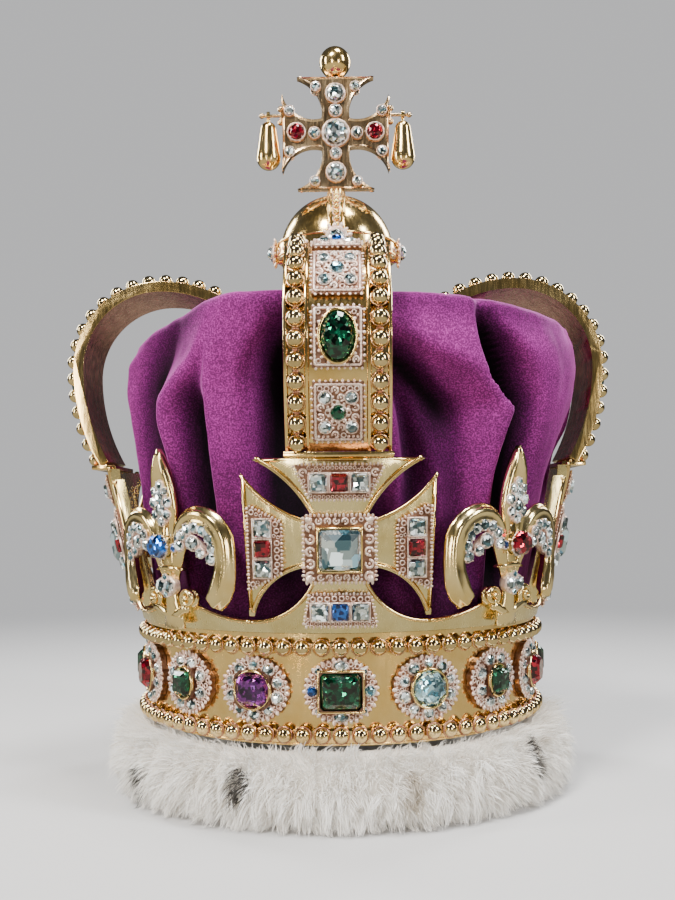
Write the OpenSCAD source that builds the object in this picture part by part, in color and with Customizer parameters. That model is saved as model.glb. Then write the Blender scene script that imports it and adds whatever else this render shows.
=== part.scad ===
// An arched crown: a gold head ring on a roll of fur, with four crosses, four lilies, two crossing
// arches set with stones, an orb and a cross on top, and a velvet cap inside.
// It stands on the fur with the origin under its middle, the front towards -Y, in millimetres.

/* [Fur rim] */
// Height of the fur roll under the gold ring
fur_h = 33.7; // [28:0.1:42]
// Width of the fur roll from its inner wall to its fullest line, without the lock tips
fur_w = 21.5; // [18:0.5:28]
// Length of a lock of fur that stands out from the roll
lock_len = 7; // [4:0.5:9]
// Number of locks round the roll in each row
lock_count = 44; // [32:2:56]

/* [Band] */
// Inner radius of the gold ring, where the head goes in
head_r = 93; // [88:0.5:100]
// Thickness of the gold ring
band_t = 2; // [1.5:0.1:3]
// Height of the gold ring
band_h = 48; // [45:1:56]
// Thickness of the mouldings along both edges of the ring
moulding_t = 3.2; // [2:0.1:4]
// Height of each edge moulding
moulding_h = 1.6; // [1:0.1:2.4]
// Diameter of the beads in both rows of the ring
band_bead_d = 7; // [6:0.1:7.8]
// Number of beads in each row of the ring
band_bead_count = 76; // [60:2:80]
// Height from the lower edge of the ring to the middle of the lower beads
bead_low = 5; // [4.6:0.1:6]
// Height from the middle of the upper beads to the upper edge of the ring
bead_down = 6; // [5.6:0.1:8]
// Width of each stone cluster round the ring
cluster_w = 32; // [26:0.5:34]
// Height of each stone cluster round the ring
cluster_h = 28.4; // [22:0.5:28.6]
// Thickness of the leafy plate of a cluster
cluster_t = 2.4; // [1.5:0.1:3.5]
// Height of the collar round the main stone of a cluster
collet_h = 2.6; // [1.5:0.1:4]
// Thickness of the collar round the main stone of a cluster
collet_t = 1; // [0.7:0.1:1.5]

/* [Crosses] */
// Angle at which the crosses lean out from the ring
cross_lean = 12.4; // [6:0.2:15]
// Height of a cross above the ring
cross_h = 73; // [66:0.5:80]
// Thickness of the plate of a cross, measured level
cross_t = 4.6; // [3:0.1:6]
// Half width of the upper arm of a cross at its tips
cross_top_half = 36; // [32:0.5:38]
// Half width of a cross across its side arms
cross_side_half = 41; // [38.5:0.5:43]
// Radius of the round cut beside the foot of a cross
notch_r = 28; // [25:0.5:30]
// Height of the lowest place of the gallery above the ring
gallery_low = 5; // [3:0.5:8]
// Height of the gallery behind a lily
gallery_high = 13; // [11:0.5:15]
// Thickness of the leafy plates on a cross
cross_setting_t = 2.2; // [1.4:0.1:3]
// Width and height of the square stone in the middle of a cross
cross_stone_w = 17; // [13:0.5:19]
// Width of the small square stones on the arms of a cross
side_stone_w = 7.4; // [6:0.1:7.8]

/* [Lilies] */
// Angle at which the lilies lean out
lily_lean = 4; // [2:0.2:6]
// Thickness of a lily, measured level
lily_t = 4.2; // [3:0.1:6]
// Height of a lily above the ring
lily_h = 80; // [72:0.5:86]
// Half width of the middle leaf of a lily
leaf_half = 7.5; // [6:0.1:9]
// Outer radius of the curl of a side petal
petal_r = 17.5; // [15:0.5:18.5]
// Width of a side petal
petal_w = 8.5; // [6:0.1:10]
// Diameter of the round stone in the middle of a lily
lily_stone_d = 10.5; // [8:0.1:12]

/* [Arches] */
// How far the bead line of an arch bulges out beyond its foot
arch_bulge = 12.65; // [6:0.05:22]
// Distance from the outer top edge of a cross to the bead line of its arch
arch_set_out = 8; // [7:0.1:10]
// Height from the top of a cross to the widest place of its arch
shoulder_rise = 50; // [40:0.5:60]
// Height from the top of a cross to the top of its arch
arch_rise = 94.2; // [80:0.5:105]
// Depth of the dip of the arches under the orb
arch_dip = 20; // [12:0.5:26]
// Width of an arch
arch_w = 43; // [40:0.5:46]
// Thickness of the plate of an arch
arch_t = 2; // [1.5:0.1:3]
// Height of the rails along an arch
rail_h = 3; // [2:0.1:3.6]
// Thickness of a rail
rail_t = 1.4; // [1:0.1:2]
// Diameter of the beads along an arch
arch_bead_d = 6.9; // [5.5:0.1:7.2]
// Distance from bead to bead along an arch
arch_bead_pitch = 8.4; // [7.6:0.1:10]
// Width of the stone clusters along an arch
arch_setting_w = 20.4; // [16:0.2:21]
// Length of each stone cluster along an arch
arch_setting_len = 24.5; // [18:0.5:27]
// Distance between the middles of the stone clusters along an arch
arch_setting_pitch = 30; // [28.5:0.5:34]
// Length of the oval green stone on an arch
oval_len = 19.6; // [15:0.2:21]
// Width of the oval green stone on an arch
oval_w = 13.4; // [10:0.2:15]

/* [Orb and cross] */
// Radius of the orb
orb_r = 28.9; // [25:0.1:32]
// Height from the crossing of the arches to the middle of the orb
orb_up = 37.5; // [34:0.5:42]
// Height of the small cross
top_cross_h = 57.5; // [50:0.5:64]
// Half width of the small cross
top_cross_half = 27.3; // [24:0.1:29]
// Width of its arms where they end
top_cross_end = 39.5; // [34:0.5:42]
// Width of its arms at the middle
top_cross_neck = 14; // [11:0.5:17]
// Thickness of the small cross
top_cross_t = 5.6; // [4:0.1:8]
// Radius of the ball on top
ball_r = 8; // [6:0.1:10]
// Radius of a hanging drop
drop_r = 6.2; // [5:0.1:6.6]
// Length of a hanging drop
drop_len = 25; // [20:0.5:28]
// Distance from the end of an arm to the middle of its drop
drop_out = 7.4; // [7:0.1:9]

/* [Velvet cap] */
// Thickness of the velvet with its lining
velvet_t = 2; // [1.4:0.1:3]
// How far the cap puffs up between the arches
puff_h = 1.5; // [0:0.5:5]
// How much the shoulder of the cap rises and drops round the crown
shoulder_drop = 8; // [0:0.5:10]

/* [Hidden] */
// Gap between pieces that sit on each other, and between stones and metal
seat = 0.3;
trim_gap = 0.2;
big = 400;

// Heights and radii that follow from the sizes above
band_z = fur_h + seat;
rim_z = band_z + band_h;
band_r = head_r + band_t;
bead_ring_r = band_r + seat + band_bead_d / 2;
low_bead_z = band_z + bead_low;
high_bead_z = rim_z - bead_down;
cluster_z = (low_bead_z + high_bead_z) / 2;
cluster_r = band_r + trim_gap;
cluster_top_r = cluster_r + cluster_t;
cross_z = rim_z + seat;
cross_top_z = cross_z + cross_h;
cross_foot_r = band_r + seat;
setting_off = cross_t + trim_gap;
stone_off = setting_off + cross_setting_t + trim_gap;
fur_in_r = head_r - 4.7;
gallery_off = gallery_high * tan(cross_lean) + cross_t;
lily_foot_r = cross_foot_r + gallery_off - gallery_high * tan(lily_lean) + seat;

// The places of a cross, as heights over its foot and distances from its middle line
cross_mid = 0.49 * cross_h;
notch_x = cross_side_half - 3.5;
notch_z = gallery_low + notch_r;
side_tip_z = gallery_low + 2;
side_high_z = 0.94 * cross_h;
upper_cut_len = 46;
upper_cut_w = 11;
lower_cut_r = 26.5;

// The bead line of an arch: [radius, turn] of each arc in order, from the cross to the crossing
plate_half = arch_w / 2 + 0.5;
base_h = 2;
arch_foot_r = cross_foot_r + cross_h * tan(cross_lean) + arch_set_out;
arch_reach = arch_foot_r + arch_bulge;
arch_foot_z = cross_top_z + 1.5;
shoulder_z = cross_top_z + shoulder_rise;
arch_top_z = cross_top_z + arch_rise;
arch_end_r = plate_half + seat;
rise_turn = 2 * atan((arch_reach - arch_foot_r) / (shoulder_z - arch_foot_z));
rise_r = (shoulder_z - arch_foot_z) / sin(rise_turn);
crest_r = arch_top_z - shoulder_z;
dip_run = arch_reach - crest_r - arch_end_r;
dip_turn = 2 * atan(arch_dip / dip_run);
dip_r = dip_run / sin(dip_turn);
arch_arcs = [[rise_r, rise_turn], [crest_r, 90], [0.55 * dip_r, dip_turn], [0.45 * dip_r, -dip_turn]];
crossing_z = arch_top_z - arch_dip;

// Levels of the plate, the rails and the stone clusters, outwards from the bead line
plate_out = -arch_bead_d / 2 - seat;
panel_out = plate_out + 1.4;
rail_out = plate_out + rail_h;
rail_w = [arch_w / 2 - rail_t / 2, arch_w / 2 - arch_bead_d - 2.2];
bead_w = (rail_w[0] + rail_w[1]) / 2;
arch_cluster_t = 1.8;
arch_cluster_out = panel_out + trim_gap;
setting_count = 5;
first_setting = 17.5;
first_bead = 4.6;
last_room = 7;
oval_setting = 1;

orb_z = crossing_z + orb_up;
orb_foot_z = orb_z + orb_r + 3.5;
top_cross_z = orb_foot_z + seat;
top_cross_mid = top_cross_z + top_cross_h / 2;
ball_z = top_cross_z + top_cross_h + seat + ball_r;
drop_x = top_cross_half + drop_out;
rod_z = top_cross_mid + 0.25 * top_cross_end;
rod_r = 0.8;
eye_r = 1.15;
eye_out_r = 2.1;

cap_r = head_r - seat;
cap_z = fur_h + 2 * seat;
cap_h = crossing_z + plate_out - arch_t - 4 - cap_z;

// Colours of the pieces, as the photo shows them
gold = [0.83, 0.66, 0.32];
pale_gold = [0.85, 0.74, 0.48];
rose = [0.90, 0.72, 0.62];
clear = [0.82, 0.90, 0.92];
aqua = [0.62, 0.80, 0.86];
green = [0.02, 0.30, 0.16];
red = [0.62, 0.04, 0.12];
violet = [0.42, 0.10, 0.50];
blue = [0.06, 0.25, 0.72];
velvet = [0.38, 0.08, 0.36];
fur_white = [0.90, 0.88, 0.85];

// Main stones round the band: [width, height, cut corner share, colour], the front one first
big_green = [17.5, 15.5, 0.18, green];
small_green = [10, 12.5, 0.18, green];
round_aqua = [15, 15, 0.586, aqua];
violet_stone = [15, 14.5, 0.3, violet];
pink_stone = [13, 15, 0.5, red];
blue_stone = [15, 13.5, 0.4, blue];
band_stones = [
    big_green, round_aqua, small_green, pink_stone, big_green, violet_stone, small_green, round_aqua,
    blue_stone, violet_stone, small_green, round_aqua, big_green, pink_stone, small_green, violet_stone,
];
stone_count = len(band_stones);

// Fold lines of the cap: each is a row of [height share, angle from the front, reach share], upwards;
// the cloth runs straight from one fold line to the next
cap_folds = [
    [[0.268, 2, 0.992], [0.807, 2, 0.928], [0.937, 2, 1.025], [1.012, 2, 1.090]],
    [[0.268, 8, 0.992], [0.807, 8, 0.874], [0.850, 7, 0.906], [0.937, 5, 0.992], [1.012, 3, 1.090]],
    [[0.268, 15, 1.020], [0.672, 14.6, 1.068], [0.807, 13, 1.068], [0.850, 10.7, 1.057], [0.937, 6, 1.057],
        [1.012, 3.5, 1.100]],
    [[0.268, 20, 1.020], [0.624, 19.5, 0.949], [0.786, 16.5, 0.939], [0.850, 13, 0.949],
        [0.894, 11, 0.982], [1.012, 4, 1.100]],
    [[0.268, 25, 1.020], [0.462, 25.5, 1.079], [0.624, 26, 1.057], [0.786, 20, 0.992], [0.894, 12, 1.003],
        [0.937, 7.5, 1.041], [1.012, 4.5, 1.100]],
    [[0.268, 31, 1.020], [0.624, 32, 1.025], [0.705, 33, 1.036], [0.786, 29, 0.971], [0.850, 21, 0.949],
        [0.894, 14.5, 0.971], [0.937, 8.8, 1.025], [1.012, 5.2, 1.100]],
    [[0.268, 40, 1.020], [0.462, 40, 1.079], [0.635, 40.3, 1.149], [0.705, 40.5, 1.197],
        [0.786, 41.5, 1.241], [0.850, 32, 1.208], [0.894, 22.5, 1.187], [0.937, 11.5, 1.154],
        [1.012, 7, 1.122]],
    [[0.268, 41.5, 1.020], [0.624, 41.5, 1.127], [0.678, 41.8, 1.170], [0.786, 43.5, 1.262],
        [0.850, 35.5, 1.241], [0.958, 33.5, 1.197], [1.012, 33, 1.165]],
    [[0.268, 46, 0.992], [0.462, 46, 0.917], [0.791, 47, 0.885], [0.856, 41, 0.885], [0.920, 37.5, 0.906],
        [0.964, 36, 1.014], [1.012, 35, 1.143]],
    [[0.268, 52, 0.992], [0.462, 52, 0.906], [0.791, 50, 0.885], [0.856, 46, 0.906], [0.920, 42, 0.949],
        [0.964, 39, 1.057], [1.012, 37, 1.154]],
    [[0.268, 57, 1.020], [0.640, 57, 1.143], [0.705, 57, 1.187], [0.813, 56, 1.230], [0.883, 52, 1.241],
        [0.937, 45, 1.230], [0.969, 41, 1.197], [1.012, 39, 1.165]],
    [[0.268, 66, 1.020], [0.462, 66, 1.095], [0.624, 66, 1.154], [0.705, 70, 1.197], [0.813, 76, 1.273],
        [0.894, 77, 1.294], [0.974, 76, 1.284], [1.012, 74, 1.251]],
    [[0.268, 72, 1.020], [0.640, 74, 1.057], [0.813, 82, 1.154], [0.920, 83, 1.187], [1.012, 80, 1.219]],
    [[0.268, 80, 1.020], [0.462, 82, 1.095], [0.624, 84, 1.154], [0.694, 85.5, 1.187], [0.759, 87, 1.268],
        [0.888, 89, 1.327], [0.974, 88, 1.294], [1.012, 87, 1.241]],
    [[0.268, 100, 0.992], [0.624, 102, 0.982], [0.840, 104, 1.057], [1.012, 101, 1.111]],
    [[0.268, 112, 1.020], [0.624, 116, 1.143], [0.840, 120, 1.230], [1.012, 116, 1.165]],
    [[0.268, 126, 0.982], [0.624, 130, 0.917], [0.867, 132, 0.982], [1.012, 128, 1.122]],
    [[0.268, 141, 1.020], [0.624, 144, 1.154], [0.840, 141, 1.219], [1.012, 143, 1.154]],
    [[0.268, 156, 0.992], [0.624, 158, 0.906], [0.867, 154, 0.960], [1.012, 157, 1.100]],
    [[0.268, 172, 1.020], [0.678, 175, 1.100], [0.894, 170, 1.165], [1.012, 174, 1.111]],
    [[0.268, 189, 0.982], [0.678, 192, 0.895], [0.894, 189, 0.971], [1.012, 190, 1.090]],
    [[0.268, 203, 1.020], [0.678, 208, 1.154], [0.840, 212, 1.219], [1.012, 206, 1.143]],
    [[0.268, 218, 0.992], [0.624, 221, 0.928], [0.867, 224, 0.992], [1.012, 219, 1.111]],
    [[0.268, 233, 1.020], [0.624, 232, 1.133], [0.840, 236, 1.208], [1.012, 234, 1.154]],
    [[0.268, 248, 0.992], [0.624, 247, 0.982], [0.867, 250, 1.046], [1.012, 248, 1.111]],
    [[0.268, 264, 1.020], [0.624, 264, 1.122], [0.845, 265, 1.197], [0.958, 265, 1.176],
        [1.012, 265, 1.111]],
    [[0.268, 279, 0.992], [0.624, 277, 0.992], [0.840, 276, 1.046], [1.012, 279, 1.068]],
    [[0.268, 292, 1.020], [0.462, 291, 1.068], [0.635, 290, 1.111], [0.845, 287, 1.165],
        [0.947, 288, 1.154], [1.012, 291, 1.111]],
    [[0.268, 304, 0.992], [0.656, 303, 1.003], [0.759, 302, 1.025], [0.867, 304, 1.036],
        [0.947, 310, 1.046], [1.012, 315, 1.079]],
    [[0.268, 317, 1.020], [0.656, 315.6, 1.154], [0.759, 312.7, 1.197], [0.818, 313.6, 1.208],
        [0.910, 325.5, 1.176], [1.012, 331, 1.154]],
    [[0.268, 323, 0.992], [0.559, 322, 0.917], [0.678, 321.5, 0.906], [0.764, 321.5, 0.971],
        [0.840, 322.5, 1.090], [0.910, 327, 1.122], [1.012, 331.5, 1.160]],
    [[0.268, 330, 1.020], [0.559, 328.9, 1.122], [0.678, 328, 1.154], [0.796, 327.5, 1.165],
        [0.910, 327.8, 1.181], [1.012, 332.3, 1.170]],
    [[0.268, 336, 1.020], [0.662, 335.5, 1.090], [0.840, 336, 1.100], [0.920, 339, 1.133],
        [1.012, 344, 1.149]],
    [[0.268, 342, 1.014], [0.462, 341, 0.928], [0.662, 340, 0.831], [0.786, 340.5, 0.809],
        [0.883, 342, 0.863], [0.926, 344, 0.992], [0.964, 346, 1.079], [1.012, 350, 1.133]],
    [[0.268, 348, 0.992], [0.462, 347, 0.906], [0.662, 345, 0.809], [0.786, 344.5, 0.787],
        [0.883, 344.5, 0.831], [0.926, 346, 0.949], [0.964, 348, 1.057], [1.012, 352, 1.122]],
];
// Heights of the rings of its wall, as shares, and how many of them lie against the band
cap_levels = [0, 0.262, 0.31, 0.40, 0.52, 0.62, 0.70, 0.76, 0.81, 0.86, 0.90, 0.94, 0.975, 1.012];
plain_levels = 2;
// Rings of its top: [share of the shoulder's reach, height share, share of the puff]
cap_top = [
    [0.985, 1.028, 0.3], [0.93, 1.037, 0.8], [0.80, 1.037, 1.0], [0.62, 1.034, 0.5], [0.42, 1.018, 0],
    [0.20, 1.004, 0],
];
// Rise of its shoulder: [angle from the front, share of the shoulder's drop]
cap_shoulder = [
    [0, 0.2], [30, 0.1], [60, -0.15], [85, -0.45], [110, 0], [180, 0.2], [250, 0], [268, -1.1], [288, -1.4],
    [305, -0.7], [325, 0.1], [335, 0.3], [360, 0.2],
];

// Outline of the fur roll: [radius share, height share, share of the lock length, droop of the locks];
// it goes round from the inner lower edge outwards, up and back in
fur_rows = [
    [0.16, 0.00, 0.00, 0.0], [0.66, 0.00, 0.00, 0.0], [0.86, 0.14, 0.70, -0.1], [0.97, 0.34, 1.00, -0.5],
    [1.00, 0.56, 1.00, -0.2], [0.96, 0.78, 1.00, 0.3], [0.87, 0.98, 0.75, 0.9], [0.735, 1.00, 0.00, 0.0],
    [0.00, 1.00, 0.00, 0.0], [0.00, 0.14, 0.00, 0.0],
];

// Sum of a list
function total(v, i = 0) = i < len(v) ? v[i] + total(v, i + 1) : 0;

// The faces of a closed skin: rings of n points, joined in order, with a flat first and last ring
function ring_faces(rings, n) = concat(
    [[for (i = [0:n - 1]) i]],
    [for (k = [0:rings - 2], i = [0:n - 1])
        let (a = k * n + i, b = k * n + (i + 1) % n) [a, a + n, b + n, b]],
    [[for (i = [n - 1:-1:0]) (rings - 1) * n + i]]
);

// Places what is drawn flat in x and y on the outside of the crown, at an angle from the front
module on_wall(angle, r, z, lean = 0) {
    rotate([0, 0, angle]) translate([0, -r, z]) rotate([90 + lean, 0, 0]) children();
}

// The space between two cones that lean out, from a height z0 over h, inwards radius r and thickness t
module lean_shell(r, lean, t, z0, h) {
    difference() {
        translate([0, 0, z0]) cylinder(h = h, r1 = r + t, r2 = r + t + h * tan(lean), $fn = 120);
        translate([0, 0, z0 - 1]) {
            cylinder(h = h + 2, r1 = r - tan(lean), r2 = r + (h + 1) * tan(lean), $fn = 120);
        }
    }
}

// Stands a flat outline upright in front of the crown, as deep as the leaning wall needs
module upright(turn, z0) {
    rotate([0, 0, turn]) translate([0, -0.6 * head_r, z0]) rotate([90, 0, 0]) {
        linear_extrude(height = head_r) children();
    }
}

// A step cut stone: its flat outline is a rectangle with cut corners, its girdle lies at z = 0
function cut_corners(w, h, c) = let (k = c * min(w, h) / 2) [
    [w / 2 - k, -h / 2], [w / 2, -h / 2 + k], [w / 2, h / 2 - k], [w / 2 - k, h / 2],
    [-w / 2 + k, h / 2], [-w / 2, h / 2 - k], [-w / 2, -h / 2 + k], [-w / 2 + k, -h / 2],
];

// Levels of a cut stone: [height share, size share], from the flat under it to its table
stone_levels = [[-0.5, 0.62], [-0.05, 1], [0.08, 1], [0.62, 0.84], [1, 0.60]];

module cut_stone(w, h, c, rise, levels = stone_levels) {
    outline = cut_corners(w, h, c);
    points = [for (l = levels, p = outline) [p[0] * l[1], p[1] * l[1], l[0] * rise]];
    polyhedron(points, ring_faces(len(levels), len(outline)));
}

// Fur roll: rings round the crown whose every second point is the tip of a lock
function fur_point(i, k) =
    let (
        row = fur_rows[k],
        tip = (i + k) % 2 == 0 ? row[2] * lock_len * (0.8 + 0.2 * sin(i * 137 + k * 71)) : 0,
        a = i * 180 / lock_count,
        r = fur_in_r + fur_w * row[0] + tip * cos(40 * row[3]),
        z = fur_h * row[1] + tip * sin(40 * row[3])
    ) [r * sin(a), -r * cos(a), max(z, 0)];

module ermine() {
    n = 2 * lock_count;
    m = len(fur_rows);
    points = [for (i = [0:n - 1], k = [0:m - 1]) fur_point(i, k)];
    faces = [
        for (i = [0:n - 1], k = [0:m - 1])
            let (a = i * m + k, b = i * m + (k + 1) % m, c = ((i + 1) % n) * m + k,
                d = ((i + 1) % n) * m + (k + 1) % m)
            each (i + k) % 2 == 0 ? [[a, b, c], [b, d, c]] : [[a, b, d], [a, d, c]]
    ];
    color(fur_white) polyhedron(points, faces);
}

// Gold ring with a moulding along each edge
module band() {
    out = band_r + moulding_t;
    color(gold) rotate_extrude($fn = 180) polygon([
        [head_r, band_z], [band_r + 0.6, band_z], [band_r + 0.6, band_z + 0.7], [band_r, band_z + 0.7],
        [band_r, rim_z - moulding_h], [out, rim_z - moulding_h], [out, rim_z], [head_r, rim_z],
    ]);
}

// A ring of beads on a thin hoop that lies against the band
module bead_row(z) {
    hoop_r = band_r + seat;
    hoop_half = 0.25 * band_bead_d;
    hoop_t = band_bead_d / 2 - 0.6;
    color(gold) union() {
        rotate_extrude($fn = 180) {
            translate([hoop_r, z - hoop_half]) square([hoop_t, 2 * hoop_half]);
        }
        for (i = [0:band_bead_count - 1]) {
            rotate([0, 0, i * 360 / band_bead_count]) {
                translate([0, -bead_ring_r, z]) sphere(d = band_bead_d, $fn = 40);
            }
        }
    }
}

// Scalloped outline of a cluster, with an even number of lobes
function scallops(w, h, lobes, deep) = [
    for (i = [0:lobes * 4 - 1])
        let (a = i * 90 / lobes, s = 1 - deep * (1 + cos(4 * 90 * i / 4)) / 2)
        [w / 2 * s * cos(a), h / 2 * s * sin(a)]
];

// A stone that stands out from the band sinks a little into its collar
band_stone_r = cluster_top_r + collet_h - 0.9;

module band_settings() {
    lobes = 14;
    for (k = [0:stone_count - 1]) {
        s = band_stones[k];
        pocket = [s[0] + 2 * trim_gap, s[1] + 2 * trim_gap];
        color(rose) difference() {
            union() {
                intersection() {
                    rotate_extrude($fn = 128) {
                        translate([cluster_r, cluster_z - cluster_h]) square([cluster_t, 2 * cluster_h]);
                    }
                    upright(k * 360 / stone_count, cluster_z) {
                        polygon(scallops(cluster_w, cluster_h, lobes, 0.06));
                    }
                }
                on_wall(k * 360 / stone_count, cluster_top_r - 1.2, cluster_z) {
                    linear_extrude(height = collet_h + 1.2) {
                        polygon(cut_corners(s[0] + 2 * collet_t, s[1] + 2 * collet_t, s[2]));
                    }
                }
            }
            on_wall(k * 360 / stone_count, band_stone_r - 2.9, cluster_z) {
                linear_extrude(height = big / 10) polygon(cut_corners(pocket[0], pocket[1], s[2]));
            }
        }
    }
}

module band_stone(k) {
    s = band_stones[k];
    color(s[3]) on_wall(k * 360 / stone_count, band_stone_r, cluster_z) {
        cut_stone(s[0], s[1], s[2], 4.6);
    }
}

// Outlines of a cross, drawn flat with the foot of the cross at y = 0
// A pointed cut between two arms: the meeting of two circles, from a point inwards along an angle
module pointed_cut(len, w) {
    r = (len * len / 4 + w * w / 4) / w;
    intersection() {
        translate([len / 2, r - w / 2]) circle(r = r, $fn = 120);
        translate([len / 2, w / 2 - r]) circle(r = r, $fn = 120);
    }
}

// Corners of the arms, from the tips of the upper arm down to the lower tips of the side arms
arm_tip = 1.2;
side_low_half = cross_side_half - 2.2;

// Cuts beside the arms: distance from the middle line, height from the middle or the lower tips, turn
upper_cut = [10.4, 11, 40];
lower_cut = [10.5, -5.2];

module cross_outline() {
    rise = gallery_high - gallery_low;
    reach = 0.8 * cross_foot_r;
    run = 0.7 * cross_foot_r - notch_x;
    swing_r = (run * run + rise * rise) / (2 * rise);
    steps = 8;
    // From the upper tip round the side arm, then along the gallery that rises towards the lily
    half = concat(
        [[cross_top_half, cross_h], [cross_top_half, cross_h - arm_tip]],
        [[cross_side_half, side_high_z], [side_low_half, side_tip_z]],
        [for (i = [1:steps])
            let (x = min(run, i * (reach - notch_x) / steps))
            [notch_x + i * (reach - notch_x) / steps,
                gallery_low + swing_r - sqrt(swing_r * swing_r - x * x)]],
        [[reach, 0]]
    );
    difference() {
        polygon(concat(half, [for (i = [len(half) - 1:-1:0]) [-half[i][0], half[i][1]]]));
        for (m = [0, 1]) mirror([m, 0]) {
            translate([upper_cut[0], cross_mid + upper_cut[1]]) rotate(upper_cut[2]) {
                pointed_cut(upper_cut_len, upper_cut_w);
            }
            intersection() {
                translate([lower_cut[0], side_tip_z + lower_cut[1]]) circle(r = lower_cut_r, $fn = 120);
                translate([notch_x, notch_z]) circle(r = notch_r, $fn = 120);
            }
            intersection() {
                translate([notch_x, notch_z]) circle(r = notch_r, $fn = 120);
                translate([0, -1]) square([reach, side_tip_z + 1]);
            }
        }
    }
}

module cross(k) {
    gap = seat / 2 * sqrt(2);
    color(pale_gold) rotate([0, 0, k * 90]) intersection() {
        lean_shell(cross_foot_r, cross_lean, cross_t, cross_z, cross_h);
        upright(0, cross_z) cross_outline();
        linear_extrude(height = big) polygon([[0, -gap], [big, -gap - big], [-big, -gap - big]]);
    }
}

// Places of the leafy plates on a cross, from its foot and middle line
plate_low = 3.5;
plate_high = cross_h - 3;
centre_half = [14.5, 13.5];
side_plate_in = 24.5;
side_plate_out = cross_side_half - 3;
// Corners of the plate on a side arm: [distance from the middle line, height over the middle]
side_plate = [[side_plate_in, -9.5], [side_plate_out, -17], [side_plate_out, 18], [side_plate_in, 11]];
// Plates of the upper and the lower arm: [lower half width, upper half width, foot height, top height]
arm_plates = [[12, 18, plate_high - 13.5, plate_high], [15, 12.5, plate_low, plate_low + 13]];

module plate_outlines() {
    translate([-centre_half[0], cross_mid - centre_half[1]]) square(2 * centre_half);
    for (p = arm_plates) polygon([[-p[0], p[2]], [p[0], p[2]], [p[1], p[3]], [-p[1], p[3]]]);
    for (m = [0, 1]) mirror([m, 0]) polygon([for (p = side_plate) [p[0], cross_mid + p[1]]]);
}

module cross_settings() {
    for (k = [0:3]) {
        color(rose) rotate([0, 0, k * 90]) intersection() {
            lean_shell(cross_foot_r + setting_off, cross_lean, cross_setting_t, cross_z, cross_h);
            upright(0, cross_z) plate_outlines();
        }
    }
}

// Puts a stone on the leaning wall at a distance x from the middle line and a height over the foot
module on_cross(k, x, up) {
    r = cross_foot_r + stone_off + up * tan(cross_lean);
    on_wall(k * 90 + asin(x / r), r, cross_z + up, cross_lean) children();
}

module cross_stone(k) {
    rise = 5.4;
    color(aqua) on_cross(k, 0, cross_mid) translate([0, 0, 0.16 * rise]) {
        cut_stone(cross_stone_w, cross_stone_w, 0.12, rise, flat_levels);
    }
}

// Levels of a stone that sits on a plate instead of in a pocket
flat_levels = [[-0.16, 0.94], [0.12, 1], [0.30, 1], [0.70, 0.86], [1, 0.62]];

// Levels of a small stone, which has one row of facets between its girdle and its table
small_levels = [flat_levels[0], flat_levels[2], flat_levels[4]];

// Small stones of a cross: [distance from the middle line, height over the foot, colour]
side_x = (side_plate_in + side_plate_out) / 2 + 1;
side_step = side_stone_w + 1.1;
arm_stones = [
    for (i = [-1:1]) [i * side_step, plate_high - 6.8, i == 0 ? red : clear],
    for (i = [-1:1]) [i * side_step, plate_low + 6, i == 0 ? blue : clear],
    for (m = [-1, 1], i = [-1:1]) [m * side_x, cross_mid + 0.5 + i * side_step, i == 0 ? red : clear],
];

module cross_side_stones() {
    side_rise = 2.8;
    for (k = [0:3], s = arm_stones) {
        color(s[2]) on_cross(k, s[0], s[1]) translate([0, 0, 0.16 * side_rise]) {
            cut_stone(side_stone_w, side_stone_w, 0.2, side_rise, small_levels);
        }
    }
}

// Outline of a lily, flat, with its foot at y = 0
leaf_low = 0.45 * lily_h;
petal_x = 21.5;
petal_up = 0.455 * lily_h;
petal_end = [31.5, 15.5];
volute_r = 5.3;
volute = [12, 14];

module petal_outline() {
    mid = petal_r - petal_w / 2;
    difference() {
        translate([petal_x, petal_up]) circle(r = petal_r, $fn = 72);
        translate([petal_x - 0.5, petal_up - 1.5]) circle(r = petal_r - petal_w, $fn = 72);
        translate([petal_x - 2 * petal_r, petal_up - 2 * petal_r]) {
            square([4 * petal_r, 2 * petal_r]);
        }
    }
    hull() {
        translate([petal_x + mid, petal_up]) circle(d = petal_w, $fn = 32);
        translate(petal_end) circle(d = petal_w + 1.2, $fn = 32);
    }
    hull() {
        translate([petal_x - mid, petal_up]) circle(d = petal_w, $fn = 32);
        translate([3, petal_up - 14]) circle(d = petal_w, $fn = 32);
    }
}

module lily_outline() {
    leaf_len = lily_h - leaf_low;
    leaf_r = (leaf_len * leaf_len / 4 + leaf_half * leaf_half) / (2 * leaf_half);
    intersection() {
        translate([leaf_r - leaf_half, leaf_low + leaf_len / 2]) circle(r = leaf_r, $fn = 120);
        translate([leaf_half - leaf_r, leaf_low + leaf_len / 2]) circle(r = leaf_r, $fn = 120);
    }
    translate([-4.6, 1]) square([9.2, leaf_low + 8]);
    translate([-7, petal_up - 22]) square([14, 8]);
    for (m = [0, 1]) mirror([m, 0]) {
        petal_outline();
        translate(volute) circle(r = volute_r, $fn = 48);
        translate([2, volute[1] - 4]) square([volute[0] - 2, 6]);
        polygon([[0, 1], [8, 1], [10, volute[1] - 3], [0, volute[1]]]);
    }
}

module lily(k) {
    color(pale_gold) intersection() {
        lean_shell(lily_foot_r, lily_lean, lily_t, cross_z, lily_h + 1);
        upright(45 + k * 90, cross_z) lily_outline();
    }
    color(pale_gold) on_lily(k, -1) cylinder(h = lily_collar_h + 1, d = 0.8 * lily_stone_d, $fn = 32);
}

// The middle of a lily, where its round stone stands on a collar
lily_collar_h = 3;
module on_lily(k, out) {
    up = petal_up + 0.5;
    r = lily_foot_r + lily_t + up * tan(lily_lean) + out;
    on_wall(45 + k * 90, r, cross_z + up, lily_lean) children();
}

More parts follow.
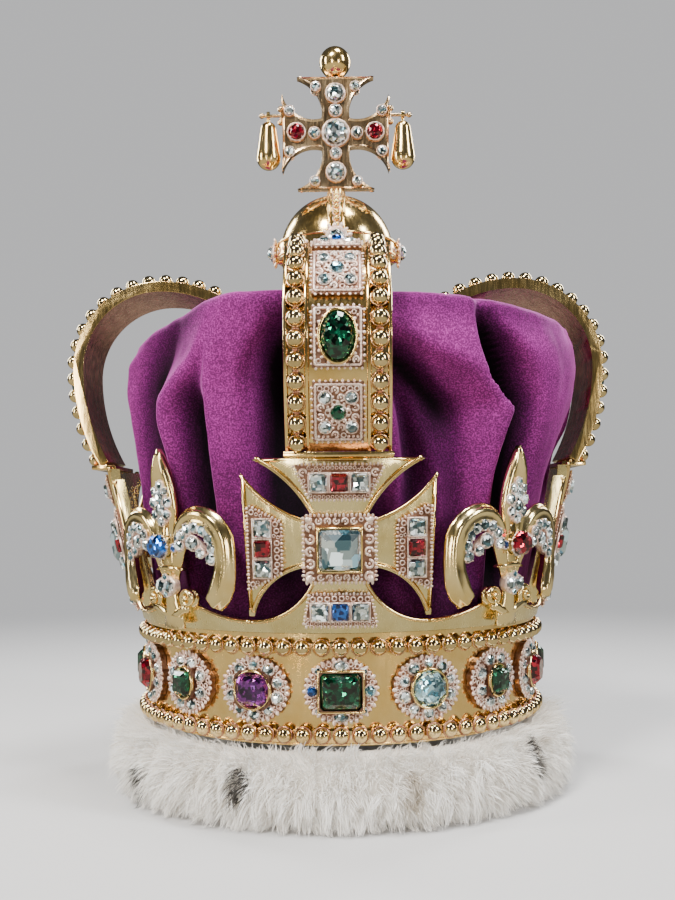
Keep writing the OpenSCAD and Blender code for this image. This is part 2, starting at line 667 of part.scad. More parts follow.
// Stone clusters of a lily: flat outlines on its leaf, its petals and over its foot
module lily_cluster_outlines() {
    translate([0, 0.715 * lily_h]) polygon(scallops(13, 20, 10, 0.05));
    translate([0, 0.235 * lily_h]) polygon(scallops(11, 10.5, 8, 0.05));
    for (m = [0, 1]) mirror([m, 0]) {
        translate([19.5, petal_up + 1]) polygon(scallops(17, 14, 10, 0.05));
    }
}

module lily_clusters() {
    for (k = [0:3]) {
        color(clear) intersection() {
            lean_shell(lily_foot_r + lily_t + trim_gap, lily_lean, 2.2, cross_z, lily_h);
            upright(45 + k * 90, cross_z) lily_cluster_outlines();
        }
    }
}

module lily_stone(k) {
    rise = 4;
    color(k % 2 == 0 ? red : blue) on_lily(k, lily_collar_h + trim_gap + 0.16 * rise) {
        cut_stone(lily_stone_d, lily_stone_d, 0.586, rise, flat_levels);
    }
}

// Heading of the bead line of an arch before arc i, and the point where the arc starts
function heading(i) = 90 - rise_turn + total([for (j = [0:1:i - 1]) arch_arcs[j][1]]);
function signed_r(i) = arch_arcs[i][0] * sign(arch_arcs[i][1]);
function arc_centre(i) = arc_start(i) + signed_r(i) * [-sin(heading(i)), cos(heading(i))];
function arc_end(i) = arc_centre(i) + signed_r(i) * [sin(heading(i + 1)), -cos(heading(i + 1))];
function arc_start(i) = i == 0 ? [arch_foot_r, arch_foot_z] : arc_end(i - 1);
function arc_len(i) = arch_arcs[i][0] * abs(arch_arcs[i][1]) * PI / 180;
function len_to(i) = total([for (j = [0:1:i - 1]) arc_len(j)]);
arc_count = len(arch_arcs);
arch_len = len_to(arc_count);
// The arc that a length along the bead line falls in, and the turn made on it up to there
function arc_at(s, i = 0) = i == arc_count - 1 || s < len_to(i + 1) ? i : arc_at(s, i + 1);
function turn_at(s, i) = (s - len_to(i)) / arc_len(i) * arch_arcs[i][1];

// Point of an arch, as its reach and height, at a length s along the bead line and out of it
function line_h(s) = heading(arc_at(s)) + turn_at(s, arc_at(s));
function line_p(s, out = 0) =
    arc_centre(arc_at(s)) + (signed_r(arc_at(s)) + out) * [sin(line_h(s)), -cos(line_h(s))];

// Places what is drawn with x across the arch, y along it and z out of it, at a length s
module on_arch(k, s, out = 0) {
    p = line_p(s);
    rotate([0, 0, k * 90]) translate([0, -p[0], p[1]]) rotate([180 - line_h(s), 0, 0]) {
        translate([0, 0, out]) children();
    }
}

// A strip that follows the bead line from length s0 to s1, from out0 to out1 and across from w0 to w1
arch_step = 3.8;
module along_arch(k, s0, s1, out0, out1, w0, w1) {
    steps = ceil((s1 - s0) / arch_step);
    stops = [for (i = [0:steps]) s0 + (s1 - s0) * i / steps];
    rotate([0, 0, k * 90 - 90]) rotate([90, 0, 0]) translate([0, 0, w0]) {
        linear_extrude(w1 - w0) polygon([
            for (s = stops) line_p(s, out1),
            for (i = [steps:-1:0]) line_p(stops[i], out0),
        ]);
    }
}

module arch_strips(k) {
    inner = rail_w[1] - rail_t / 2;
    along_arch(k, 0, arch_len, plate_out - arch_t, plate_out, -arch_w / 2, arch_w / 2);
    along_arch(k, 0, arch_len, plate_out - 0.5, panel_out, -inner, inner);
    for (m = [-1, 1], w = rail_w) {
        along_arch(k, 0, arch_len, plate_out - 0.5, plate_out + rail_h,
            m * w - rail_t / 2, m * w + rail_t / 2);
    }
}

module arch(k) {
    base_in = arch_foot_r + plate_out - arch_t - 3;
    base_out = arch_foot_r + 3;
    color(gold) union() {
        arch_strips(k);
        rotate([0, 0, k * 90]) translate([-arch_w / 2 - 0.8, -base_out, cross_top_z + seat]) {
            cube([arch_w + 1.6, base_out - base_in, base_h]);
        }
    }
}

// Two rows of beads, each on a narrow strip between the rails of the arch
module arch_beads(k) {
    count = 1 + floor((arch_len - first_bead - last_room) / arch_bead_pitch);
    last = first_bead + (count - 1) * arch_bead_pitch;
    strip_out = plate_out + seat / 2;
    strip_t = 1.6;
    strip_half = 1.7;
    color(gold) union() {
        for (w = [-bead_w, bead_w]) {
            along_arch(k, first_bead - 2, last + 2, strip_out, strip_out + strip_t,
                w - strip_half, w + strip_half);
        }
        for (i = [0:count - 1], m = [-1, 1]) on_arch(k, first_bead + i * arch_bead_pitch) {
            translate([m * bead_w, 0, 0]) sphere(d = arch_bead_d, $fn = 40);
        }
    }
}

module arch_settings() {
    for (k = [0:3], i = [0:setting_count - 1]) {
        s = first_setting + i * arch_setting_pitch;
        l = arch_setting_len / 2;
        w = arch_setting_w / 2;
        color(rose) along_arch(k, s - l, s + l, arch_cluster_out, arch_cluster_out + arch_cluster_t, -w, w);
    }
}

// A smooth oval stone, as rings of twelve points from its flat back to its top
oval_levels = [[0, 0.90], [0.15, 1], [0.45, 0.95], [0.75, 0.76], [0.94, 0.45], [1, 0.16]];

module arch_emerald(k) {
    s = first_setting + oval_setting * arch_setting_pitch;
    sides = 16;
    rise = 5.4;
    points = [
        for (l = oval_levels, j = [0:sides - 1])
            let (a = j * 360 / sides)
            [l[1] * oval_w / 2 * cos(a), l[1] * oval_len / 2 * sin(a), l[0] * rise]
    ];
    color(green) on_arch(k, s, arch_cluster_out + arch_cluster_t + trim_gap) {
        polyhedron(points, ring_faces(len(oval_levels), sides));
    }
}

// Crossing plate of the arches, drum, orb with its belt, bow and four bosses, and the foot of the cross
module orb() {
    plate_z = crossing_z + plate_out - arch_t;
    belt_half = 4.2;
    belt_t = 1.6;
    bow_half = 4.65;
    bow_t = 1.3;
    boss_r = 5.2;
    foot_r = 4.2;
    color(gold) union() {
        translate([-plate_half, -plate_half, plate_z]) {
            cube([2 * plate_half, 2 * plate_half, arch_t + rail_h]);
        }
        translate([0, 0, plate_z + 1]) {
            cylinder(h = orb_z - 0.78 * orb_r - plate_z, r = 0.62 * orb_r, $fn = 72);
        }
        translate([0, 0, orb_z]) {
            sphere(r = orb_r, $fn = 96);
            rotate_extrude($fn = 96) {
                translate([0.9 * orb_r, -belt_half]) square([0.1 * orb_r + belt_t, 2 * belt_half]);
            }
            rotate([0, 90, 0]) rotate([0, 0, 90]) rotate_extrude(angle = 180, $fn = 96) {
                translate([0.9 * orb_r, -bow_half]) square([0.1 * orb_r + bow_t, 2 * bow_half]);
            }
            for (k = [0:3]) rotate([0, 0, k * 90]) rotate([90, 0, 0]) {
                cylinder(h = orb_r + 3.4, r = boss_r, $fn = 48);
            }
        }
        translate([0, 0, orb_z + orb_r - 2]) {
            cylinder(h = orb_foot_z - orb_z - orb_r + 2, r = foot_r, $fn = 48);
        }
    }
}

// Outline of the small cross: a box less the space between each two arms, which two circles bound.
// Each circle starts level with the neck and ends at the tip of its arm.
function bite_r(run, rise) = (run * run + rise * rise) / (2 * run);

module top_cross_outline() {
    half_h = top_cross_h / 2;
    n = top_cross_neck / 2;
    e = top_cross_end / 2;
    start = 1.6 * n;
    upper_r = bite_r(e - n, half_h - start);
    side_r = bite_r(e - n, top_cross_half - start);
    difference() {
        translate([-top_cross_half, -half_h]) square([2 * top_cross_half, 2 * half_h]);
        for (mx = [0, 1], my = [0, 1]) mirror([mx, 0]) mirror([0, my]) {
            intersection() {
                translate([n + upper_r, start]) circle(r = upper_r, $fn = 96);
                translate([start, n + side_r]) circle(r = side_r, $fn = 96);
            }
            polygon([
                [e, half_h - 0.4], [e, big], [big, big], [big, e], [top_cross_half - 0.4, e],
                [start + n, start + n],
            ]);
        }
    }
}

// Scrolled end of a side arm, and the rod that carries a drop past it
scroll_up = 3.4;
scroll_r = 1.7;
rod_past = 3.4;
rod_knob_r = 1.4;

module top_cross() {
    color(rose) union() {
        translate([0, top_cross_t / 2, top_cross_mid]) rotate([90, 0, 0]) {
            linear_extrude(height = top_cross_t) top_cross_outline();
        }
        for (m = [-1, 1]) {
            translate([m * (top_cross_half - 2), 0, rod_z]) rotate([0, m * 90, 0]) {
                cylinder(h = drop_out + 2 + rod_past, r = rod_r, $fn = 24);
            }
            translate([m * (drop_x + rod_past), 0, rod_z]) sphere(r = rod_knob_r, $fn = 24);
            for (up = [-1, 1]) {
                translate([m * (top_cross_half + 0.9), 0, rod_z + up * scroll_up]) {
                    sphere(r = scroll_r, $fn = 24);
                }
            }
            translate([m * (top_cross_half + 0.6), 0, rod_z - scroll_up - 0.6]) {
                cylinder(h = 2 * scroll_up + 1.2, r = scroll_r / 2, $fn = 24);
            }
        }
    }
}

// Stones of the small cross, on its front and back:
// [share of the half width, share of the half height, width, colour]
top_stones = [
    [0, 0, 12, clear], [0, 0.71, 8.6, clear], [0, 0.40, 5.6, clear],
    [0, -0.36, 5, clear], [0, -0.70, 8.6, clear],
    for (m = [-1, 1]) each [
        [m * 0.74, 0.02, 8, red], [m * 0.40, 0, 5.2, clear],
        [m * 0.87, 0.40, 4.6, clear], [m * 0.87, -0.33, 4.6, clear],
        [m * 0.37, 0.83, 4.4, clear], [m * 0.40, -0.86, 4.4, clear],
    ],
];

module top_cross_stones() {
    for (side = [0, 1], s = top_stones) color(s[3]) rotate([0, 0, side * 180]) {
        rise = s[2] > 7 ? 3.2 : 2;
        x = s[0] * top_cross_half;
        z = top_cross_mid + s[1] * top_cross_h / 2;
        translate([x, -top_cross_t / 2 - trim_gap - 0.16 * rise, z]) rotate([90, 0, 0]) {
            cut_stone(s[2], s[2], 0.586, rise, small_levels);
        }
    }
}

module top_ball() {
    color(gold) translate([0, 0, ball_z]) sphere(r = ball_r, $fn = 72);
}

// A point on a circle of radius r whose middle lies at a height z on the axis
function round_point(r, z, a) = [r * cos(a), z + r * sin(a)];

// A drop of metal that hangs by an eye from the rod at the end of an arm
neck_down = 3.2;
module drop(m) {
    neck_z = rod_z - neck_down;
    foot_z = rod_z - 3 - drop_len;
    low_r = drop_r;
    top_r = 0.66 * drop_r;
    low_z = foot_z + low_r;
    top_z = neck_z - top_r;
    slope = asin((low_r - top_r) / (top_z - low_z));
    color(gold) union() {
        translate([m * drop_x, 0, 0]) rotate_extrude($fn = 72) polygon(concat(
            [[0, foot_z]],
            [for (i = [1:10]) round_point(low_r, low_z, -90 + i * (90 + slope) / 10)],
            [for (i = [0:5]) round_point(top_r, top_z, slope + i * (80 - slope) / 5)],
            [[0, neck_z]]
        ));
        difference() {
            translate([m * drop_x - 0.8, 0, rod_z]) rotate([0, 90, 0]) {
                cylinder(h = 1.6, r = eye_out_r, $fn = 36);
            }
            translate([m * drop_x - 2, 0, rod_z]) rotate([0, 90, 0]) cylinder(h = 4, r = eye_r, $fn = 36);
        }
        translate([m * drop_x, 0, neck_z - 1]) cylinder(h = neck_down + 0.7 - eye_r, r = 0.8, $fn = 24);
    }
}

// Cap of velvet: rings of points from the lower edge to the middle of the top. Every second point of a
// ring lies on a fold line, and the others lie halfway between two of them.
fold_count = len(cap_folds);
function fold_angle(i, h) =
    lookup(h, [for (p = cap_folds[i % fold_count]) [p[0], p[1]]]) + 360 * floor(i / fold_count);
function fold_reach(i, h) = lookup(h, [for (p = cap_folds[i % fold_count]) [p[0], p[2]]]);
function puff(a) = (1 - cos(4 * a)) / 2;
function lift(h) = pow(max(0, (h - 0.84) / 0.172), 2);
function either(f0, f1, odd) = odd ? (f0 + f1) / 2 : f0;

function cap_point(i, k, inward) =
    let (
        walls = len(cap_levels),
        top = k >= walls,
        row = top ? cap_top[k - walls] : [1, cap_levels[k], 0],
        h = top ? cap_levels[walls - 1] : row[1],
        j = floor(i / 2),
        odd = i % 2 == 1,
        a = either(fold_angle(j, h), fold_angle(j + 1, h), odd),
        reach = k < plain_levels ? 1 : either(fold_reach(j, h), fold_reach(j + 1, h), odd),
        rise = shoulder_drop * lookup(a % 360, cap_shoulder) * (top ? row[0] * row[0] : lift(h)),
        thin = velvet_t * inward,
        r = cap_r * reach * row[0] - thin * (top ? 0.35 : 1),
        z = cap_z + cap_h * row[1] + rise + puff_h * row[2] * puff(a)
            - thin * (k == 0 ? 0 : top ? 1 : k / walls)
    ) [r * sin(a), -r * cos(a), z];

module cap() {
    n = 2 * fold_count;
    rings = len(cap_levels) + len(cap_top);
    last = (2 * rings - 1) * n;
    top_out = (rings - 1) * n;
    middle = 2 * rings * n;
    middle_z = cap_z + cap_h;
    points = concat(
        [for (k = [0:rings - 1], i = [0:n - 1]) cap_point(i, k, 0)],
        [for (k = [rings - 1:-1:0], i = [0:n - 1]) cap_point(i, k, 1)],
        [[0, 0, middle_z], [0, 0, middle_z - velvet_t]]
    );
    walls = [
        for (k = [0:2 * rings - 2], i = [0:n - 1]) if (k != rings - 1)
            let (a = k * n + i, b = k * n + (i + 1) % n)
            each [[a, a + n, b + n], [a, b + n, b]]
    ];
    rims = [
        for (i = [0:n - 1])
            let (j = (i + 1) % n)
            each [
                [i, j, last + j], [i, last + j, last + i],
                [top_out + i, middle, top_out + j], [top_out + n + i, top_out + n + j, middle + 1],
            ]
    ];
    color(velvet) polyhedron(points, concat(walls, rims));
}

ermine();
band();
bead_row(low_bead_z);  // bead_row_lower
bead_row(high_bead_z);  // bead_row_upper
band_settings();
for (k = [1:16]) band_stone(k - 1);
for (k = [1:4]) cross(k - 1);
cross_settings();
for (k = [1:4]) cross_stone(k - 1);
cross_side_stones();
for (k = [1:4]) lily(k - 1);
lily_clusters();
for (k = [1:4]) lily_stone(k - 1);
for (k = [1:4]) arch(k - 1);
for (k = [1:4]) arch_beads(k - 1);
arch_settings();
for (k = [1:4]) arch_emerald(k - 1);
orb();
top_cross();
top_cross_stones();
top_ball();
drop(-1);  // drop_left
drop(1);  // drop_right
cap();
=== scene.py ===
# %% [markdown]
# # An arched crown of gold, velvet and fur
# This lesson dresses the plain solids of a crown. Each cell makes one piece or one finish. The solids
# come first, as a fixed frame: their sizes and places are right, and they are never moved.

# %% Load the frame
import math
import random

import bpy
import numpy as np
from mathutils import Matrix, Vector, noise


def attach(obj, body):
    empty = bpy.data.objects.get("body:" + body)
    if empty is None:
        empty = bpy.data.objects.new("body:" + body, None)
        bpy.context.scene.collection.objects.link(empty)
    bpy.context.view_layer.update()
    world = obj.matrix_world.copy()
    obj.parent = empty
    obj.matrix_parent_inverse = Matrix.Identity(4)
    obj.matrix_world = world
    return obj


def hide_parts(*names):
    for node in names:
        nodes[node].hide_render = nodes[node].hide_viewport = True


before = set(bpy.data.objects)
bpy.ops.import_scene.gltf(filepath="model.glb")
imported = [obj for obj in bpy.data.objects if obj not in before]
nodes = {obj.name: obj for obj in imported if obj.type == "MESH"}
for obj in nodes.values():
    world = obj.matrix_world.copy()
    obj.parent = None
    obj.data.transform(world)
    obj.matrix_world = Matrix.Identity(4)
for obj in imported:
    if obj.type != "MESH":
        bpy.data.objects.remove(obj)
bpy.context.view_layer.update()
MM = 0.001

# %% [markdown]
# ## Camera
# The photo was taken from close by, a little above the band and level. A level camera with a small
# upward shift keeps the upright lines of the crown parallel, as a stand camera does. Pitching the
# camera up would also bring the top cross into view, but it would make the upright lines meet.

# %% Camera
camera_data = bpy.data.cameras.new("camera")
camera = bpy.data.objects.new("camera", camera_data)
bpy.context.scene.collection.objects.link(camera)
camera.location = (0.0, -0.541, 0.133)
camera.rotation_euler = (math.radians(90), math.radians(0.55), 0)
camera_data.lens = 41.9
camera_data.sensor_width = 36
camera_data.shift_x = -0.002
camera_data.shift_y = 0.07
camera_data.clip_start = 0.01
bpy.context.scene.camera = camera
print("camera at", tuple(round(v, 3) for v in camera.location))

# %% [markdown]
# ## Floor and light
# Polished metal shows its surroundings more than its own colour. A few large soft lamps give long
# highlights, and the darker room between them gives the gold its depth. One bright world all round
# would be easier, but the gold would look like paint in it. So the world and the floor look pale to the
# camera alone, and the gold mirrors a darker room. Materials are node trees, and a few helpers keep them
# short: a colour ramp from its stops, a change of range, and links by name.

# %% Helpers for materials
def new_material(name):
    """An empty node material with its Principled shader and a place for links."""
    material = bpy.data.materials.new(name)
    material.use_nodes = True
    tree = material.node_tree
    return material, tree, tree.nodes["Principled BSDF"]


def add_node(tree, kind, **values):
    """A node with its fields and its unlinked sockets set by name."""
    node = tree.nodes.new(kind)
    for key, value in values.items():
        if hasattr(node, key):
            setattr(node, key, value)
        else:
            node.inputs[key].default_value = value
    return node


def ramp(tree, *stops):
    """A colour ramp through stops of (position, red, green, blue), from the first to the last."""
    node = tree.nodes.new("ShaderNodeValToRGB")
    elements = node.color_ramp.elements
    for element, (position, *colour) in zip(list(elements), (stops[0], stops[-1])):
        element.position = position
        element.color = (*colour, 1)
    for position, *colour in stops[1:-1]:
        elements.new(position).color = (*colour, 1)
    return node


def rescale(tree, low, high, to_low=0.0, to_high=1.0):
    """A Map Range node that turns the range low to high into another one."""
    return add_node(tree, "ShaderNodeMapRange", **{"From Min": low, "From Max": high, "To Min": to_low,
                                                   "To Max": to_high})


def wire(tree, *links):
    """Links nodes; each link is (from node, its output, to node, its input)."""
    for source, output, target, entry in links:
        tree.links.new(source.outputs[output], target.inputs[entry])


print("helpers", [f.__name__ for f in (new_material, add_node, ramp, rescale, wire)])

# %% Floor
bpy.ops.mesh.primitive_plane_add(size=8, location=(0, 0, 0))
floor = bpy.context.object
floor.name = "floor"
ground = (0.60, 0.60, 0.61, 1)
floor_finish, tree, floor_shader = new_material("floor_finish")
floor_shader.inputs["Base Color"].default_value = (0.66, 0.66, 0.67, 1)
floor_shader.inputs["Roughness"].default_value = 0.8
place = tree.nodes.new("ShaderNodeTexCoord")
distance = add_node(tree, "ShaderNodeVectorMath", operation="LENGTH")
fade = rescale(tree, 0.16, 1.0)
fade.interpolation_type = "SMOOTHSTEP"
haze = add_node(tree, "ShaderNodeEmission", Color=ground)
shadowed = add_node(tree, "ShaderNodeBsdfDiffuse", Color=(0.23, 0.22, 0.185, 1))
path = tree.nodes.new("ShaderNodeLightPath")
far = tree.nodes.new("ShaderNodeMixShader")
mirrored = tree.nodes.new("ShaderNodeMixShader")
wire(tree, (place, "Object", distance, 0), (distance, "Value", fade, "Value"), (fade, "Result", far, "Fac"),
     (floor_shader, "BSDF", far, 1), (haze, "Emission", far, 2), (path, "Is Camera Ray", mirrored, "Fac"),
     (shadowed, "BSDF", mirrored, 1), (far, "Shader", mirrored, 2),
     (mirrored, "Shader", tree.nodes["Material Output"], "Surface"))
floor.data.materials.append(floor_finish)
print("floor", tuple(round(v, 1) for v in floor.dimensions))

# %% World
world = bpy.data.worlds.new("room")
bpy.context.scene.world = world
world.use_nodes = True
tree = world.node_tree
tree.nodes.clear()
seen = add_node(tree, "ShaderNodeBackground", Color=ground, Strength=1.0)
lit = add_node(tree, "ShaderNodeBackground", Color=(0.60, 0.62, 0.66, 1), Strength=0.10)
path = tree.nodes.new("ShaderNodeLightPath")
mix = tree.nodes.new("ShaderNodeMixShader")
out = tree.nodes.new("ShaderNodeOutputWorld")
wire(tree, (path, "Is Camera Ray", mix, "Fac"), (lit, "Background", mix, 1), (seen, "Background", mix, 2),
     (mix, "Shader", out, "Surface"))
print("world", world.name)


# %% Lamps
def soft_lamp(name, place, target, size, power, colour=(1, 1, 1)):
    """A rectangular area lamp that looks at a point."""
    data = bpy.data.lights.new(name, "AREA")
    data.shape = "RECTANGLE"
    data.size, data.size_y = size
    data.energy = power
    data.color = colour
    lamp = bpy.data.objects.new(name, data)
    bpy.context.scene.collection.objects.link(lamp)
    lamp.location = place
    aim = Vector(target) - Vector(place)
    lamp.rotation_euler = aim.to_track_quat("-Z", "Y").to_euler()


soft_lamp("key", (-0.45, -0.85, 1.25), (0, 0, 0.16), (0.30, 0.30), 26, (1, 0.97, 0.92))
soft_lamp("top", (0.25, -0.25, 1.45), (0, 0, 0.18), (0.35, 0.35), 15, (1, 0.98, 0.95))
soft_lamp("right", (1.10, -0.60, 0.80), (0, 0, 0.15), (0.20, 0.70), 13, (0.96, 0.98, 1))
soft_lamp("left", (-1.20, -0.35, 0.50), (0, 0, 0.15), (0.16, 0.80), 8, (1, 0.96, 0.90))
soft_lamp("low_left", (-0.42, -1.05, 0.20), (0, 0, 0.10), (0.07, 0.34), 2.4, (1, 0.92, 0.82))
soft_lamp("low_right", (0.52, -1.00, 0.22), (0, 0, 0.10), (0.07, 0.34), 2.4, (1, 0.94, 0.86))
soft_lamp("back_left", (-1.0, 0.9, 0.8), (0, 0, 0.18), (0.3, 0.8), 15)
soft_lamp("back_right", (0.9, 1.0, 0.9), (0, 0, 0.18), (0.3, 0.8), 15)
print("lamps", len(bpy.data.lights))

# %% [markdown]
# ## Finishes
# The gold of a crown is polished by hand for years, so its gloss is broken by soft patches and fine
# scratches. A picture of scratches could be laid over it, but a pattern made of noise fits any piece and
# any size. It is made once, as the node group `fine_grain`, and each material sets its own scales.

# %% Shared node group
grain = bpy.data.node_groups.new("fine_grain", "ShaderNodeTree")
for label, scale in (("Patch scale", 60), ("Scratch scale", 900)):
    socket = grain.interface.new_socket(label, in_out="INPUT", socket_type="NodeSocketFloat")
    socket.default_value = scale
for label in ("Patch", "Scratch"):
    grain.interface.new_socket(label, in_out="OUTPUT", socket_type="NodeSocketFloat")
grain_in, grain_out = grain.nodes.new("NodeGroupInput"), grain.nodes.new("NodeGroupOutput")
place = grain.nodes.new("ShaderNodeTexCoord")
patch = add_node(grain, "ShaderNodeTexNoise", Detail=3.0, Roughness=0.6)
stretch = add_node(grain, "ShaderNodeMapping", Scale=(1.0, 1.0, 0.12))
scratch = add_node(grain, "ShaderNodeTexNoise", Detail=2.0, Roughness=0.7)
wire(grain, (place, "Object", patch, "Vector"), (grain_in, "Patch scale", patch, "Scale"),
     (place, "Object", stretch, "Vector"), (stretch, "Vector", scratch, "Vector"),
     (grain_in, "Scratch scale", scratch, "Scale"), (patch, "Fac", grain_out, "Patch"),
     (scratch, "Fac", grain_out, "Scratch"))


def add_grain(tree, patch_scale, scratch_scale=900):
    """The shared grain, placed in a material with its own scales."""
    group = tree.nodes.new("ShaderNodeGroup")
    group.node_tree = grain
    group.inputs["Patch scale"].default_value = patch_scale
    group.inputs["Scratch scale"].default_value = scratch_scale
    return group


print("group", grain.name, len(grain.nodes), "nodes")


# %% Metals
def metal(name, light, deep, rough, bump=0.02, patch_scale=60.0, metallic=1.0):
    """Polished metal whose colour drifts between two tones, with a broken gloss."""
    material, tree, shader = new_material(name)
    group = add_grain(tree, patch_scale)
    tone = ramp(tree, (0.3, *deep), (0.62, *light))
    gloss = rescale(tree, 0.3, 0.7, rough * 0.7, rough * 1.5)
    relief = add_node(tree, "ShaderNodeBump", Strength=bump, Distance=0.0004)
    wire(tree, (group, "Patch", tone, "Fac"), (tone, "Color", shader, "Base Color"),
         (group, "Scratch", gloss, "Value"), (gloss, "Result", shader, "Roughness"),
         (group, "Scratch", relief, "Height"), (relief, "Normal", shader, "Normal"))
    shader.inputs["Metallic"].default_value = metallic
    return material


gold = metal("gold", (1.0, 0.74, 0.32), (0.88, 0.58, 0.19), 0.14)
pale_gold = metal("pale_gold", (1.0, 0.80, 0.40), (0.90, 0.66, 0.25), 0.15, 0.03)
cross_gold = metal("cross_gold", (0.94, 0.80, 0.42), (0.76, 0.61, 0.26), 0.20, 0.05)
rose_gold = metal("rose_gold", (0.88, 0.58, 0.34), (0.66, 0.36, 0.18), 0.20, 0.04, 300.0)
bead_gold = metal("bead_gold", (0.84, 0.66, 0.34), (0.58, 0.42, 0.18), 0.09)
lace_gold = metal("lace_gold", (1.0, 0.84, 0.75), (0.92, 0.60, 0.49), 0.28, 0.04, 300.0, 0.62)
# A darker, redder gold for the lower collets and the saddles; on the arches it paints the shade of their inner side
red_gold_and_shade = metal("red_gold_and_shade", (0.66, 0.36, 0.24), (0.40, 0.18, 0.12), 0.28, 0.05, 200.0)
old_gold = metal("old_gold", (0.86, 0.62, 0.36), (0.62, 0.38, 0.18), 0.20, 0.05, 200.0)
silver = metal("silver", (0.90, 0.88, 0.82), (0.66, 0.62, 0.54), 0.15, 0.03)
# Dark reddish metal; under the lace it is a dark sheet that paints the shade in the holes
shade_backing = metal("shade_backing", (0.36, 0.20, 0.14), (0.12, 0.06, 0.04), 0.34, 0.08, 300.0)
print("metals", [m.name for m in bpy.data.materials if m.name.endswith(("gold", "silver", "shade_backing"))])

# %% [markdown]
# A cut stone throws the room back in small pieces, some bright and some dark. Clear glass with real
# facets would need many bounces of light and would stay noisy. Here the surface below a clear coat is
# split into cells, and each cell leans its own way, so each mirrors another part of the room. Each cell
# also has a tone painted from dark to bright, and the bright cells glow: painted glints.


# %% Stones
def gem(name, dark, bright, glint_glow, size=0.0017, tilt=0.5):
    """A cut stone: under a hard smooth surface, each small inner facet mirrors another part of the room, with a
    painted tone and a painted glint glow.
    """
    material, tree, shader = new_material(name)
    place = tree.nodes.new("ShaderNodeTexCoord")
    facets = add_node(tree, "ShaderNodeTexVoronoi", Scale=1.0 / size, distance="CHEBYCHEV")
    split = tree.nodes.new("ShaderNodeSeparateColor")
    tone = ramp(tree, (0.25, *dark), (0.85, *bright))
    # Painted glints: the brighter cells glow, as strongly as the look asks
    glint = rescale(tree, 0.55, 1.0, 0.0, glint_glow)
    surface = tree.nodes.new("ShaderNodeNewGeometry")
    middle = add_node(tree, "ShaderNodeVectorMath", operation="SUBTRACT")
    middle.inputs[1].default_value = (0.5, 0.5, 0.5)
    lean = add_node(tree, "ShaderNodeVectorMath", operation="SCALE", Scale=tilt)
    turned = add_node(tree, "ShaderNodeVectorMath", operation="ADD")
    unit = add_node(tree, "ShaderNodeVectorMath", operation="NORMALIZE")
    wire(tree, (place, "Object", facets, "Vector"), (facets, "Color", split, "Color"), (split, "Red", tone, "Fac"),
         (tone, "Color", shader, "Base Color"), (tone, "Color", shader, "Emission Color"),
         (split, "Green", glint, "Value"), (glint, "Result", shader, "Emission Strength"),
         (facets, "Color", middle, 0), (middle, "Vector", lean, 0), (lean, "Vector", turned, 0),
         (surface, "Normal", turned, 1), (turned, "Vector", unit, 0), (unit, "Vector", shader, "Normal"),
         (surface, "Normal", shader, "Coat Normal"))
    shader.inputs["Metallic"].default_value = 0.85
    shader.inputs["Roughness"].default_value = 0.08
    shader.inputs["Coat Weight"].default_value = 1.0
    shader.inputs["Coat Roughness"].default_value = 0.02
    shader.inputs["Coat IOR"].default_value = 1.6
    return material


# Each look: the colour of its darkest facets and of its brightest, and how strongly the bright ones glow as painted
# glints
gem_looks = {
    "stone_clear": ((0.03, 0.07, 0.08), (0.92, 1.0, 1.0), 1.7),
    "stone_aqua": ((0.02, 0.10, 0.14), (0.55, 0.88, 0.98), 1.3),
    "stone_green": ((0.0, 0.006, 0.003), (0.0, 0.12, 0.055), 0.35),
    "stone_red": ((0.03, 0.0, 0.002), (0.50, 0.004, 0.03), 0.3),
    "stone_violet": ((0.03, 0.002, 0.05), (0.36, 0.05, 0.46), 0.4),
    "stone_blue": ((0.0, 0.01, 0.07), (0.02, 0.20, 0.80), 0.7),
}
gems = {name: gem(name, *look) for name, look in gem_looks.items()}
# The square stones in the middle of the crosses are large enough to show broad steps inside
broad_stone = gem("stone_broad", (0.05, 0.16, 0.22), (0.85, 0.98, 1.0), 1.5, 0.0052, 0.32)
print("stones", len(gems) + 1)

# %% [markdown]
# Velvet is dark when seen straight on and bright along its edges, where the light runs through the tips
# of its nap. Sheen in the shader gives a part of that. The rest is painted into the colour: three colours
# mixed over each other, a purple that is nearly black in the hollows and darker towards the band, which is
# painted shade carried by an attribute of the cap, a fine noise for single tips, and a paler rim where the
# cloth turns away, which is a painted sheen. The painted shade also turns the sheen down in the hollows.

# %% Velvet
COLOUR_A, COLOUR_B, MIXED = 6, 7, 2    # sockets of a Mix node that is set to colour
velvet, tree, shader = new_material("velvet")
group = add_grain(tree, 45, 2500)
tone = ramp(tree, (0.3, 0.75, 0.75, 0.75), (0.7, 1, 1, 1))
# Painted shade of the folds: the attribute from the cap turns the purple nearly black in the hollows
depth = add_node(tree, "ShaderNodeAttribute", attribute_name="fold_shade")
fold_shade_ramp = ramp(tree, (0, 0.004, 0.0005, 0.004), (0.5, 0.078, 0.004, 0.066), (1, 0.245, 0.026, 0.195))
shade_and_tone = add_node(tree, "ShaderNodeMix", data_type="RGBA", blend_type="MULTIPLY")
shade_and_tone.inputs[0].default_value = 1.0
place = tree.nodes.new("ShaderNodeTexCoord")
nap = add_node(tree, "ShaderNodeTexNoise", Scale=1500.0, Detail=1.0)
tips = ramp(tree, (0.42, 0.72, 0.72, 0.72), (0.72, 2.2, 2.2, 2.2))
napped = add_node(tree, "ShaderNodeMix", data_type="RGBA", blend_type="MULTIPLY")
napped.inputs[0].default_value = 1.0
